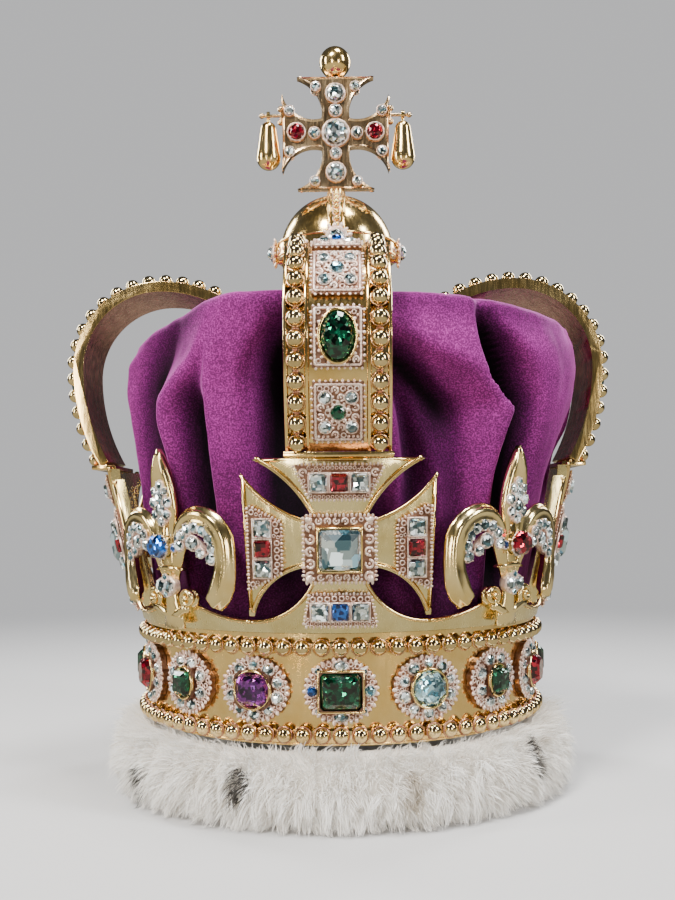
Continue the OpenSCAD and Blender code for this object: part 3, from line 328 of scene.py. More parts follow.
# Painted sheen: a paler rim where the cloth turns away, held back in the shaded hollows
facing = add_node(tree, "ShaderNodeLayerWeight", Blend=0.5)
edge_room = rescale(tree, 0.15, 0.6, 0.0, 0.75)
edge = rescale(tree, 0.62, 1.0)
rim_sheen = add_node(tree, "ShaderNodeMix", data_type="RGBA")
rim_sheen.inputs[COLOUR_B].default_value = (0.45, 0.10, 0.38, 1)
# The sheen is turned down in the hollows as well, as part of the painted shade
sheen_by_fold_shade = rescale(tree, 0.1, 0.8, 0.0, 0.36)
relief = add_node(tree, "ShaderNodeBump", Strength=0.35, Distance=0.0003)
wire(tree, (group, "Patch", tone, "Fac"), (depth, "Fac", fold_shade_ramp, "Fac"), (fold_shade_ramp, "Color", shade_and_tone, COLOUR_A),
     (tone, "Color", shade_and_tone, COLOUR_B), (place, "Object", nap, "Vector"), (nap, "Fac", tips, "Fac"),
     (shade_and_tone, MIXED, napped, COLOUR_A), (tips, "Color", napped, COLOUR_B), (depth, "Fac", edge_room, "Value"),
     (edge_room, "Result", edge, "To Max"), (facing, "Facing", edge, "Value"), (edge, "Result", rim_sheen, 0),
     (napped, MIXED, rim_sheen, COLOUR_A), (rim_sheen, MIXED, shader, "Base Color"),
     (depth, "Fac", sheen_by_fold_shade, "Value"), (sheen_by_fold_shade, "Result", shader, "Sheen Weight"),
     (group, "Scratch", relief, "Height"), (relief, "Normal", shader, "Normal"))
for label, value in (("Roughness", 0.85), ("Specular IOR Level", 0.15), ("Sheen Roughness", 0.30),
                     ("Sheen Tint", (0.90, 0.22, 0.78, 1))):
    shader.inputs[label].default_value = value
print("velvet", len(tree.nodes), "nodes")

# %% [markdown]
# White fur is never one white: its roots are creamy, its tips are pale, and the ermine tails are black.
# Every hair carries its own tone as an attribute, and one ramp turns the tone into a colour. The tone also
# holds painted shade: hairs on the right side and on the underside of the roll are darker. A faint glow
# stands for the light that wanders about inside a thick coat, which is slow to compute.

# %% Fur
fur, tree, shader = new_material("fur")
shade = add_node(tree, "ShaderNodeAttribute", attribute_name="fur_tone")
tone = ramp(tree, (0, 0.012, 0.010, 0.009), (0.35, 0.50, 0.43, 0.34), (0.7, 0.86, 0.83, 0.78),
            (1, 0.98, 0.97, 0.95))
wire(tree, (shade, "Fac", tone, "Fac"), (tone, "Color", shader, "Base Color"),
     (tone, "Color", shader, "Emission Color"))
for label, value in (("Emission Strength", 0.16), ("Roughness", 0.55), ("Sheen Weight", 0.3)):
    shader.inputs[label].default_value = value
print("materials", len(bpy.data.materials))

# %% [markdown]
# ## Finishes on the solids
# A solid whose shape is right keeps its place and gets its finish here. It could be modelled again, but
# the solid is the same shape and its place is certain. Its slots are named in the record, so most finishes
# are found by that name. The beads and the middle stones of the crosses have finishes of their own.

# %% Assign finishes
# The solids' rose_gold slot takes the dark backing, the sheet that paints shade
finishes = {"gold": gold, "pale_gold": pale_gold, "rose_gold": shade_backing, "velvet": velvet, "fur": fur, **gems}
own_finishes = {"bead_row": bead_gold, "arch_beads": bead_gold, "cross_stone": broad_stone}
missing = set()
for name, node in nodes.items():
    own = [look for start, look in own_finishes.items() if name.startswith(start)]
    for slot in node.material_slots:
        label = slot.material.name.split(".")[0] if slot.material else ""
        if own or label in finishes:
            slot.material = own[0] if own else finishes[label]
        else:
            missing.add((name, label))
print("solids with no finish yet", sorted(missing)[:12])

# %% [markdown]
# ## Work by hand, in code
# An operator works on all that is selected, and the solids come in selected. So each step first
# deselects everything and then selects the one object that it is meant for.


# %% Helpers for work by hand
def pick(obj):
    """Deselects everything, then selects one object and makes it the active one."""
    bpy.ops.object.select_all(action="DESELECT")
    obj.select_set(True)
    bpy.context.view_layer.objects.active = obj


def edit_all(obj):
    """Goes into edit mode on one object with all of it selected."""
    pick(obj)
    bpy.ops.object.mode_set(mode="EDIT")
    bpy.ops.mesh.select_all(action="SELECT")


def add_object(name, mesh):
    """Links a finished mesh into the scene as an object at the origin."""
    obj = bpy.data.objects.new(name, mesh)
    bpy.context.scene.collection.objects.link(obj)
    return obj


def apply_modifier(obj, kind, **values):
    """Adds a modifier with its values and applies it."""
    pick(obj)
    modifier = obj.modifiers.new(kind.lower(), kind)
    for key, value in values.items():
        setattr(modifier, key, value)
    bpy.ops.object.modifier_apply(modifier=modifier.name)


print("helpers", [f.__name__ for f in (pick, edit_all, add_object, apply_modifier)])

# %% [markdown]
# ## Velvet cap
# The cap is one disc of velvet, gathered at the band and pushed out between the arches, so it stands in
# sharp ridges with deep hollows between them. A simulation would put the folds where it likes, so the
# fold lines are given one by one: each is a row of points with a height, an angle from the front and a
# reach from the middle. The cloth is stretched straight from one fold line to the next, like a tent, and
# the puffed top follows the shoulder inwards to the middle.

# %% Fold lines: (height in mm, angle in degrees, reach in mm), from the band up
fold_lines = {
    "under_arch": [(84, 2, 92), (184, 2, 86), (208, 2, 95), (222, 2, 101)],
    "thin_hollow": [(84, 8, 92), (184, 8, 81), (192, 7, 84), (208, 5, 92), (222, 3, 101)],
    "thin": [(84, 15, 94.6), (159, 14.6, 99), (184, 13, 99), (192, 10.7, 98), (208, 6, 98), (222, 3.5, 102)],
    "low_hollow": [(84, 20, 94.6), (150, 19.5, 88), (180, 16.5, 87), (192, 13, 88), (200, 11, 91),
                   (222, 4, 102)],
    "low_ridge": [(84, 25, 94.6), (120, 25.5, 100), (150, 26, 98), (180, 20, 92), (200, 12, 93),
                  (208, 7.5, 96.5), (222, 4.5, 102)],
    "dark": [(84, 31, 94.6), (150, 32, 95), (165, 33, 96), (180, 29, 90), (192, 21, 88), (200, 14.5, 90),
             (208, 8.8, 95), (222, 5.2, 102)],
    "slant": [(84, 40, 94.6), (120, 40, 100), (152, 40.3, 106.5), (165, 40.5, 111), (180, 41.5, 115),
              (192, 32, 112), (200, 22.5, 110), (208, 11.5, 107), (222, 7, 104)],
    "edge": [(84, 41.5, 94.6), (150, 41.5, 104.5), (160, 41.8, 108.5), (180, 43.5, 117), (192, 35.5, 115),
             (212, 33.5, 111), (222, 33, 108)],
    "black": [(84, 46, 92), (120, 46, 85), (181, 47, 82), (193, 41, 82), (205, 37.5, 84), (213, 36, 94),
              (222, 35, 106)],
    "black_far": [(84, 52, 92), (120, 52, 84), (181, 50, 82), (193, 46, 84), (205, 42, 88), (213, 39, 98),
                  (222, 37, 107)],
    "swag": [(84, 57, 94.6), (153, 57, 106), (165, 57, 110), (185, 56, 114), (198, 52, 115), (208, 45, 114),
             (214, 41, 111), (222, 39, 108)],
    "right": [(84, 66, 94.6), (120, 66, 101.5), (150, 66, 107), (165, 70, 111), (185, 76, 118), (200, 77, 120),
              (215, 76, 119), (222, 74, 116)],
    "right_gap": [(84, 72, 94.6), (153, 74, 98), (185, 82, 107), (205, 83, 110), (222, 80, 113)],
    "far_right": [(84, 80, 94.6), (120, 82, 101.5), (150, 84, 107), (163, 85.5, 110), (175, 87, 117.5),
                  (199, 89, 123), (215, 88, 120), (222, 87, 115)],
    "b1": [(84, 100, 92), (150, 102, 91), (190, 104, 98), (222, 101, 103)],
    "b2": [(84, 112, 94.6), (150, 116, 106), (190, 120, 114), (222, 116, 108)],
    "b3": [(84, 126, 91), (150, 130, 85), (195, 132, 91), (222, 128, 104)],
    "b4": [(84, 141, 94.6), (150, 144, 107), (190, 141, 113), (222, 143, 107)],
    "b5": [(84, 156, 92), (150, 158, 84), (195, 154, 89), (222, 157, 102)],
    "b6": [(84, 172, 94.6), (160, 175, 102), (200, 170, 108), (222, 174, 103)],
    "b7": [(84, 189, 91), (160, 192, 83), (200, 189, 90), (222, 190, 101)],
    "b8": [(84, 203, 94.6), (160, 208, 107), (190, 212, 113), (222, 206, 106)],
    "b9": [(84, 218, 92), (150, 221, 86), (195, 224, 92), (222, 219, 103)],
    "b10": [(84, 233, 94.6), (150, 232, 105), (190, 236, 112), (222, 234, 107)],
    "b11": [(84, 248, 92), (150, 247, 91), (195, 250, 97), (222, 248, 103)],
    "far_left": [(84, 264, 94.6), (150, 264, 104), (191, 265, 111), (212, 265, 109), (222, 265, 103)],
    "left_gap": [(84, 279, 92), (150, 277, 92), (190, 276, 97), (222, 279, 99)],
    "left": [(84, 292, 94.6), (120, 291, 99), (152, 290, 103), (191, 287, 108), (210, 288, 107),
             (222, 291, 103)],
    "flat": [(84, 304, 92), (156, 303, 93), (175, 302, 95), (195, 304, 96), (210, 310, 97), (222, 315, 100)],
    "knee": [(84, 317, 94.6), (156, 315.6, 107), (175, 312.7, 111), (186, 313.6, 112), (203, 325.5, 109),
             (222, 331, 107)],
    "pocket": [(84, 323, 92), (138, 322, 85), (160, 321.5, 84), (176, 321.5, 90), (190, 322.5, 101),
               (203, 327, 104), (222, 331.5, 107.5)],
    "main": [(84, 330, 94.6), (138, 328.9, 104), (160, 328, 107), (182, 327.5, 108), (203, 327.8, 109.5),
             (222, 332.3, 108.5)],
    "lit": [(84, 336, 94.6), (157, 335.5, 101), (190, 336, 102), (205, 339, 105), (222, 344, 106.5)],
    "deep_far": [(84, 342, 94), (120, 341, 86), (157, 340, 77), (180, 340.5, 75), (198, 342, 80),
                 (206, 344, 92), (213, 346, 100), (222, 350, 105)],
    "deep": [(84, 348, 92), (120, 347, 84), (157, 345, 75), (180, 344.5, 73), (198, 344.5, 77), (206, 346, 88),
             (213, 348, 98), (222, 352, 104)],
}
# Top of the cap: (share of the reach at the shoulder, height, share of the puff between the arches)
top_rows = [(1.0, 222, 0), (0.993, 223.6, 0), (0.975, 224.9, 0.2), (0.945, 225.8, 0.4), (0.89, 226.2, 0.8),
            (0.80, 226.2, 1.0), (0.70, 226, 0.8), (0.60, 225.4, 0.4), (0.48, 223.8, 0), (0.30, 221.4, 0),
            (0.14, 220, 0), (0.0, 219.7, 0)]
# Rise of the shoulder round the crown: (angle, mm)
shoulder = [(0, 1.6), (30, 0.8), (60, -1.2), (85, -3.6), (110, 0), (180, 1.6), (250, 0), (268, -8.8), (288, -11.2),
            (305, -5.6), (325, 0.8), (335, 2.4), (360, 1.6)]
print("fold lines", len(fold_lines))


# %% [markdown]
# The wall of the cap is a grid of points: rows at rising heights, and each row goes round the crown. Inside
# the band the cap is as narrow as the band, and its folds open over the centimetre or so above it. Near the
# top the rows lift, because the shoulder of the cap is higher in some places than in others.


# %% Wall of the cap
def fold_reach(angles, height):
    """Reach of the cloth at a height, straight from one fold line to the next."""
    knots = []
    for line in fold_lines.values():
        heights, turns, reaches = zip(*line)
        knots.append((np.interp(height, heights, turns), np.interp(height, heights, reaches)))
    turns, reaches = zip(*sorted(knots))
    return np.interp(angles, turns, reaches, period=360)


def soften(rows, width):
    """Rounds the creases of each row by a short blur along it."""
    kernel = np.exp(-0.5 * (np.arange(-8, 9) / width) ** 2)
    kernel /= kernel.sum()
    return np.array([np.convolve(np.r_[row[-8:], row, row[:8]], kernel, "valid") for row in rows])


foot_z, shoulder_z, foot_reach = 84, 222, 91.5
opens_from, opens_over, lifts_from, lifts_over = 78, 14, 190, 32
cap_steps = 390
angles = np.arange(cap_steps) * 360 / cap_steps
wall = np.r_[np.linspace(40, 80, 7), np.linspace(foot_z, shoulder_z, 56)]
reach = np.array([fold_reach(angles, max(z, foot_z)) for z in wall])
inside = np.clip((wall - opens_from) / opens_over, 0, 1)[:, None]
reach = foot_reach + (reach - foot_reach) * inside
reach = np.array([reach[max(i - 1, 0):i + 2].mean(axis=0) for i in range(len(reach))])
reach = soften(reach, 1.0)
rise = np.interp(angles, *zip(*shoulder))
lift = np.clip((wall - lifts_from) / lifts_over, 0, 1)[:, None] ** 2
heights = wall[:, None] + rise * lift
print("wall", reach.shape, "reach", round(reach.min(), 1), "to", round(reach.max(), 1), "mm")

# %% Top of the cap
puff = np.sin(np.radians(2 * angles)) ** 2
fine = np.linspace(0, len(top_rows) - 1, 36)[1:]
share, top, puffed = (np.interp(fine, np.arange(len(top_rows)), column)[:, None] for column in zip(*top_rows))
level = 0.08 * (reach[-1] - reach[-1].mean()) * puff
heights = np.vstack([heights, top + rise * share ** 2 + puffed * (1.5 * puff + level)])
reach = np.vstack([reach, reach[-1] * share])
rows = len(reach)
print("rows with the top", rows)

# %% Painted shade of the folds, and the small unevenness of cloth
# Painted shade in the colour: deep folds are darker, by how far a place stands out of its surroundings, and the cap
# is darker towards the band; the top is left light
near_by = 20    # steps to each side that count as surroundings
blur = np.ones(2 * near_by + 1) / (2 * near_by + 1)
around = np.array([np.convolve(np.r_[row[-near_by:], row, row[:near_by]], blur, "valid") for row in reach])
fold_shade = np.clip(0.56 + (reach - around) / 11, 0, 1) * np.interp(heights, [foot_z, 165, 205], [0.40, 0.85, 1.15])
fold_shade = np.maximum(fold_shade, np.interp(heights, [214, 224], [0, 0.66]))
turn = np.radians(angles)
points = np.stack([reach * np.sin(turn), -reach * np.cos(turn), heights], axis=-1)
for r in range(8, rows - 1):
    calm = 0.006 * min(1, (rows - 1 - r) / 50) ** 2
    for c in range(cap_steps):
        x, y, z = points[r, c]
        wave = noise.noise(Vector((x / 13, y / 13, z / 22))) + 0.4 * noise.noise(Vector((x / 5, y / 5, z / 8)))
        points[r, c] *= 1 + calm * wave
print("fold_shade", round(float(fold_shade.min()), 2), "to", round(float(fold_shade.max()), 2))


# %% Cap piece
def strip_faces(rows, columns, closed=False):
    """Four-sided faces over rows of points, each row a ring; closed joins the last row to the first."""
    return [(r * columns + c, (r + 1) % rows * columns + c, (r + 1) % rows * columns + (c + 1) % columns,
             r * columns + (c + 1) % columns) for r in range(rows if closed else rows - 1) for c in range(columns)]


mesh = bpy.data.meshes.new("velvet_cap")
mesh.from_pydata((points.reshape(-1, 3) * MM).tolist(), [], strip_faces(rows, cap_steps))
# The painted shade of the folds goes with the cap as a point attribute
mesh.attributes.new("fold_shade", "FLOAT", "POINT").data.foreach_set("value", fold_shade.reshape(-1).astype(np.float32))
mesh.materials.append(velvet)
cap = add_object("velvet_cap", mesh)
edit_all(cap)
bpy.ops.mesh.remove_doubles(threshold=0.00001)
bpy.ops.mesh.normals_make_consistent(inside=False)
bpy.ops.object.mode_set(mode="OBJECT")
apply_modifier(cap, "SOLIDIFY", thickness=0.0012, offset=-1)
pick(cap)
bpy.ops.object.shade_smooth()
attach(cap, "root")
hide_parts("cap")

# %% [markdown]
# ## Fur rim
# Ermine is short dense hair in small locks, with the black tips of the tails set in it. Real hair as
# particles would not reach the exported model, so each hair is a thin bent blade of a few faces, over a
# skin of the same fur. Hairs are drawn lock by lock: those of one lock lean towards the same tip.

# %% Skin under the hair
fur_mid, fur_half, fur_z, fur_rise = 99.4, 10.2, 16.8, 15.6
skin_steps, skin_round, skin_top = 160, 24, 33.2
skin_points = []
for a in np.arange(skin_steps) * 2 * math.pi / skin_steps:
    for b in np.arange(skin_round) * 2 * math.pi / skin_round:
        bump = 0.7 * noise.noise(Vector((9 * math.cos(a), 9 * math.sin(a), 3 * b)))
        r = fur_mid + (fur_half + bump) * math.cos(b)
        z = max(fur_z + (fur_rise + bump) * math.sin(b), 0.2)
        skin_points.append((r * math.sin(a) * MM, -r * math.cos(a) * MM, min(z, skin_top) * MM))
mesh = bpy.data.meshes.new("fur_skin")
mesh.from_pydata(skin_points, [], strip_faces(skin_steps, skin_round, closed=True))
mesh.materials.append(fur)
attribute = mesh.attributes.new("fur_tone", "FLOAT", "POINT")
attribute.data.foreach_set("value", np.full(len(mesh.vertices), 0.55, np.float32))
skin = add_object("fur_skin", mesh)
edit_all(skin)
bpy.ops.mesh.normals_make_consistent(inside=False)
bpy.ops.object.mode_set(mode="OBJECT")
bpy.ops.object.shade_smooth()
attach(skin, "root")
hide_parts("ermine")
print("skin", len(skin.data.polygons), "faces")

# %% Black tails
# Each tail: (angle from the front, height in mm, strength); all are ovals of one size
tail_wide, tail_high, mm_per_degree = 4.6, 6.5, 1.9
tails = [(-23, 19, 1.0), (15, 18, 0.5), (52, 22, 1.0), (88, 14, 1.0), (124, 21, 1.0), (158, 16, 1.0), (196, 20, 1.0),
         (232, 15, 1.0), (268, 21, 1.0), (304, 13, 1.0)]


def blackness(a, z):
    """How black the hair is that grows at a turn and a height."""
    black = 0.0
    for angle, height, strength in tails:
        off = (math.degrees(a) - angle + 180) % 360 - 180
        if (off * mm_per_degree / tail_wide) ** 2 + ((z - height) / tail_high) ** 2 < 1:
            black = max(black, strength)
    return black


print("tails", len(tails))


# %% Hair
rim_reach, roll_reach = 105, 14    # mean radii of the rim and of its roll, for turning millimetres into angles
root_depth, back_turn, top_turn = 0.95, 1.75, 0.9


def hair_piece(name, locks, hairs, length, spread, width, seed):
    """Locks of hair all round the rim, as one mesh with a tone for each point."""
    draw = random.Random(seed)
    verts, faces, tones = [], [], []
    for _ in range(locks):
        a0 = draw.uniform(0, 2 * math.pi)
        b0 = math.radians(draw.triangular(-95, 95, 5))
        swirl = 0.5 * noise.noise(Vector((5 * math.cos(a0), 5 * math.sin(a0), 2 * b0))) + draw.gauss(0, 0.18)
        droop = draw.gauss(0.30, 0.16)
        size = length * draw.uniform(0.75, 1.2) * (1 + 0.5 * max(0.0, abs(math.sin(a0)) - 0.6))
        shade = draw.gauss(0, 0.07)
        tip_shift = (draw.gauss(0, 1.3), draw.gauss(0, 1.3))
        for _ in range(hairs):
            du, dv = draw.gauss(0, spread), draw.gauss(0, spread)
            a, b = a0 + du / rim_reach, b0 + dv / roll_reach
            if abs(b) > back_turn:
                continue
            ahead, side = Vector((math.sin(a), -math.cos(a), 0)), Vector((math.cos(a), math.sin(a), 0))
            out = Vector((math.sin(a) * math.cos(b), -math.cos(a) * math.cos(b), math.sin(b)))
            up = side.cross(out)
            r = fur_mid + fur_half * root_depth * math.cos(b)
            root = Vector((r * math.sin(a), -r * math.cos(a), fur_z + fur_rise * root_depth * math.sin(b)))
            own = size * draw.uniform(0.8, 1.15)
            # A hair leans with its lock and towards its middle, and droops; on top it falls outwards
            lean = side * (swirl * own - 0.55 * du + tip_shift[0]) + up * (-0.55 * dv + tip_shift[1])
            drop = Vector((0, 0, -droop * own * (0.6 + 0.5 * math.cos(b))))
            if b > top_turn:
                drop = ahead * 0.7 * own
                drop.z = -0.15 * own
            twist = side * math.cos(draw.uniform(-1, 1)) + up * math.sin(draw.uniform(-1, 1))
            base_tone = 0.84 + shade + draw.gauss(0, 0.05)
            # Painted shade: hairs on the right side and on the underside of the roll are darker
            side_shade = 0.08 * max(0.0, math.sin(a)) + 0.07 * max(0.0, -math.sin(b))
            black = blackness(a, root.z)
            start = len(verts)
            for k, w in ((0, 1.0), (0.38, 0.85), (0.72, 0.5), (1.0, 0.0)):
                p = root + out * own * k * (1 - 0.25 * k) + lean * k ** 1.3 + drop * k * k
                p.z = max(p.z, 0.25 + 0.2 * k)
                tone = base_tone - side_shade - 0.16 * (1 - k) + 0.08 * k
                tone = tone * (1 - black) + 0.02 * black
                pair = [p - twist * width * w / 2, p + twist * width * w / 2] if w else [p]
                verts += pair
                tones += [tone] * len(pair)
            faces += [(start, start + 1, start + 3, start + 2), (start + 2, start + 3, start + 5, start + 4),
                      (start + 4, start + 5, start + 6)]
    mesh = bpy.data.meshes.new(name)
    mesh.from_pydata([(v.x * MM, v.y * MM, v.z * MM) for v in verts], [], faces)
    mesh.materials.append(fur)
    attribute = mesh.attributes.new("fur_tone", "FLOAT", "POINT")
    attribute.data.foreach_set("value", np.array(tones, np.float32))
    piece = add_object(name, mesh)
    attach(piece, "root")
    print(name, len(faces), "faces")


hair_piece("fur_locks", 1200, 22, 9.5, 1.5, 0.46, 11)
hair_piece("fur_fluff", 2700, 10, 6.5, 2.4, 0.40, 12)

# %% [markdown]
# ## Ornament, modelled once and set many times
# The settings of a crown are leafy lace: rings, leaves and beads of metal round each stone. Sculpted as one
# relief they would look soft. So each small form is modelled by hand, once, at the middle of the scene and
# kept as a pattern with few faces. Flat work is then laid out from the patterns, in millimetres, and bent
# onto the crown in one go, as a goldsmith cuts flat work first and curves it afterwards.

# %% Patterns
patterns = {}


def keep_pattern(name, soft=True):
    """Keeps the active object's mesh as a pattern, and takes the object away."""
    obj = bpy.context.object
    points = np.array([obj.matrix_basis @ v.co for v in obj.data.vertices])
    patterns[name] = (points, [tuple(p.vertices) for p in obj.data.polygons], soft)
    bpy.data.objects.remove(obj)
    print("pattern", name, len(patterns[name][1]), "faces")


def choose_faces(obj, wanted):
    """Selects the faces of an object that pass a test, and goes into edit mode."""
    pick(obj)
    bpy.ops.object.mode_set(mode="EDIT")
    bpy.ops.mesh.select_all(action="DESELECT")
    bpy.ops.mesh.select_mode(type="FACE")
    bpy.ops.object.mode_set(mode="OBJECT")
    for face in obj.data.polygons:
        face.select = wanted(face)
    bpy.ops.object.mode_set(mode="EDIT")


bpy.ops.object.select_all(action="DESELECT")
for name, thick, segments in (("ring", 0.3, 8), ("thin_ring", 0.12, 14)):
    bpy.ops.mesh.primitive_torus_add(major_radius=1, minor_radius=thick, major_segments=segments, minor_segments=4)
    keep_pattern(name)
for name, segments, rings in (("bead", 6, 4), ("ball", 12, 8)):
    bpy.ops.mesh.primitive_uv_sphere_add(segments=segments, ring_count=rings, radius=1)
    keep_pattern(name)

# %% Leaf and scroll
# A leaf is a ball drawn out to a point, thin at the stalk and curled up at its tip
bpy.ops.mesh.primitive_uv_sphere_add(segments=6, ring_count=5, radius=1)
for vertex in bpy.context.object.data.vertices:
    x, y, z = vertex.co
    t = (z + 1) / 2
    vertex.co = (x * 0.62 * (1.15 - 0.3 * t), 1.35 * t - 0.3, -y * 0.34 + 0.3 * t * t)
keep_pattern("leaf")

# A scroll is three quarters of a ring
bpy.ops.mesh.primitive_torus_add(major_radius=0.78, minor_radius=0.30, major_segments=12, minor_segments=5)
choose_faces(bpy.context.object, lambda face: face.center.x > 0.25 and face.center.y < 0.1)
bpy.ops.mesh.delete(type="FACE")
bpy.ops.mesh.select_all(action="SELECT")
bpy.ops.mesh.edge_face_add()
bpy.ops.object.mode_set(mode="OBJECT")
keep_pattern("scroll")

# %% [markdown]
# A small cut stone shows a flat table on top and rows of facets round it. A ball would look like a bead,
# and a full cut would cost too many faces for several hundred stones. So the top of a short block is inset
# twice and rises each time, and on a round stone each row is turned against the last.


# %% Cup and cut stones
def cut_top(steps, turn=0):
    """Cuts the top of a short block in steps: each is an inset with a rise, and the next row turned."""
    choose_faces(bpy.context.object, lambda face: face.normal.z > 0.9)
    for inset, rise in steps:
        bpy.ops.mesh.inset(thickness=inset, depth=rise, use_even_offset=False)
        bpy.ops.transform.rotate(value=math.radians(turn), orient_axis="Z", center_override=(0, 0, 0))
    if turn:
        bpy.ops.mesh.select_all(action="SELECT")
        bpy.ops.mesh.quads_convert_to_tris()
    bpy.ops.object.mode_set(mode="OBJECT")


bpy.ops.mesh.primitive_cylinder_add(vertices=16, radius=1, depth=1, location=(0, 0, 0.5))
keep_pattern("cup", False)
bpy.ops.mesh.primitive_cylinder_add(vertices=8, radius=1, depth=0.3, location=(0, 0, 0.15))
bpy.ops.object.transform_apply(location=True)
cut_top([(0.24, 0.24), (0.26, 0.12)], 22.5)
keep_pattern("round_stone", False)
bpy.ops.mesh.primitive_cube_add(size=2, location=(0, 0, 0.15), scale=(1, 1, 0.15))
bpy.ops.object.transform_apply(location=True, scale=True)
cut_top([(0.16, 0.16), (0.2, 0.13)])
keep_pattern("square_stone", False)

# %% [markdown]
# Flat work has three directions: across, along, and out of the surface. A modifier could bend it, but
# only along one curve at a time. So each kind of surface has a function that takes flat places and gives
# bent ones: a leaning wall round the crown, an arch, or a flat face.


# %% Surfaces to bend onto
def round_wall(angle, reach, foot, lean=0.0):
    """The wall of the crown at an angle from the front, which may lean outwards from its foot."""
    tilt = math.radians(lean)

    def bend(p):
        r = reach + p[:, 1] * math.tan(tilt) + p[:, 2] * math.cos(tilt)
        turn = math.radians(angle) + np.arcsin(np.clip(p[:, 0] / r, -1, 1))
        return np.stack([r * np.sin(turn), -r * np.cos(turn), foot + p[:, 1] - p[:, 2] * math.sin(tilt)], axis=1)
    return bend


def flat_face(angle, reach, height):
    """An upright flat face whose middle is at a reach and a height."""
    c, s = math.cos(math.radians(angle)), math.sin(math.radians(angle))

    def bend(p):
        r = reach + p[:, 2]
        return np.stack([p[:, 0] * c + r * s, p[:, 0] * s - r * c, height + p[:, 1]], axis=1)
    return bend


print("a place on the back of a wall", round_wall(180, 100, 50)(np.zeros((1, 3))).round(1).tolist())

# %% [markdown]
# An arch of the crown rises straight from its foot, bends over in a tight curve and dips to the crossing.
# The plain solids follow four arcs that run into each other, so the flat work follows the same four.

# %% Arch line
# From the foot to the crossing: arcs of (radius in mm, turn in degrees)
arch_arcs = [(99.3, 29.237), (44.2, 90.0), (64.49, 33.959), (52.765, -33.959)]
arch_foot = (119.35, 156.8)


def arch_line(s, out):
    """Reach and height of places on an arch, at a length along its bead line and a distance out of it."""
    start, heading, walked = np.array(arch_foot), math.radians(90 - arch_arcs[0][1]), 0.0
    reach, height = np.zeros(len(s)), np.zeros(len(s))
    for i, (radius, turn) in enumerate(arch_arcs):
        swing = math.radians(turn)
        signed = math.copysign(radius, swing)
        length = radius * abs(swing)
        centre = start + signed * np.array([-math.sin(heading), math.cos(heading)])
        # The first and the last arc also take what lies past the ends of the line
        here = ((s >= walked) | (i == 0)) & ((s < walked + length) | (i == len(arch_arcs) - 1))
        h = heading + (s - walked) / signed
        reach = np.where(here, centre[0] + (signed + out) * np.sin(h), reach)
        height = np.where(here, centre[1] - (signed + out) * np.cos(h), height)
        heading += swing
        start = centre + signed * np.array([math.sin(heading), -math.cos(heading)])
        walked += length
    return reach, height


def on_arch(k):
    """The outer face of an arch: along is the length from its foot."""
    c, s = math.cos(math.radians(90 * k)), math.sin(math.radians(90 * k))

    def bend(p):
        reach, height = arch_line(p[:, 1], p[:, 2])
        return np.stack([p[:, 0] * c + reach * s, p[:, 0] * s - reach * c, height], axis=1)
    return bend


print("arch length", round(sum(radius * math.radians(abs(turn)) for radius, turn in arch_arcs), 1), "mm")


# %% Flat work: stamps, bars and plates
def stamp(name, x, y, out=0.0, spin=0.0, size=1.0, finish=0, high=None):
    """A pattern set down in flat work: its place, turn in degrees, half size and finish."""
    points, faces, soft = patterns[name]
    wide, long = size if isinstance(size, tuple) else (size, size)
    p = points * (wide, long, high or (wide + long) / 2)
    c, s = math.cos(math.radians(spin)), math.sin(math.radians(spin))
    return np.stack([p[:, 0] * c - p[:, 1] * s + x, p[:, 0] * s + p[:, 1] * c + y, p[:, 2] + out], axis=1), \
        faces, finish, soft


def loft(rings, finish=0, closed=False):
    """A skin over rings of points that follow each other, closed at its ends."""
    rings = np.array(rings)
    n, m = rings.shape[:2]
    faces = strip_faces(n, m, closed)
    if not closed:
        faces += [tuple(range(m)), tuple(range(n * m - 1, (n - 1) * m - 1, -1))]
    return rings.reshape(-1, 3), faces, finish, True


def bar(path, half_width, half_height, out=0.0, finish=0, closed=False, sides=8, flutes=0.0):
    """A rounded bar along a path; its half width and half height may change on the way, and it may be fluted."""
    path = np.array(path, float)
    if path.shape[1] == 2:
        path = np.c_[path, np.full(len(path), out)]
    ahead, behind = np.roll(path, -1, axis=0), np.roll(path, 1, axis=0)
    if not closed:
        ahead[-1], behind[0] = path[-1], path[0]
    way = (ahead - behind)[:, :2]
    way /= np.maximum(np.linalg.norm(way, axis=1), 1e-9)[:, None]
    across = np.c_[way[:, 1], -way[:, 0], np.zeros(len(path))]
    turn = np.arange(sides) * 2 * math.pi / sides
    wide, high = (np.broadcast_to(v, len(path))[:, None, None] for v in (half_width, half_height))
    swell = 1 + flutes * np.cos(6 * turn)
    rings = path[:, None, :] + across[:, None, :] * (swell * np.cos(turn))[None, :, None] * wide
    rings = rings + np.array([0, 0, 1.0]) * (swell * np.sin(turn))[None, :, None] * high
    return loft(rings, finish, closed)


def plate(outline, low, high, finish=0):
    """A flat plate between two levels, with its upper edge taken off."""
    round_off = 0.4
    ring = np.array(outline, float)
    middle = ring.mean(axis=0)
    shrink = 1 - round_off / np.abs(ring - middle).max()
    rows = [(1, low), (1, high - round_off), (shrink, high)]
    rings = [np.c_[middle + (ring - middle) * s, np.full(len(ring), z)] for s, z in rows]
    points, faces, finish, _ = loft(rings[::-1], finish)
    return points, faces, finish, False


print("a round bar has", len(bar([(0, 0), (0, 5), (0, 10)], 1, 1)[1]), "faces")


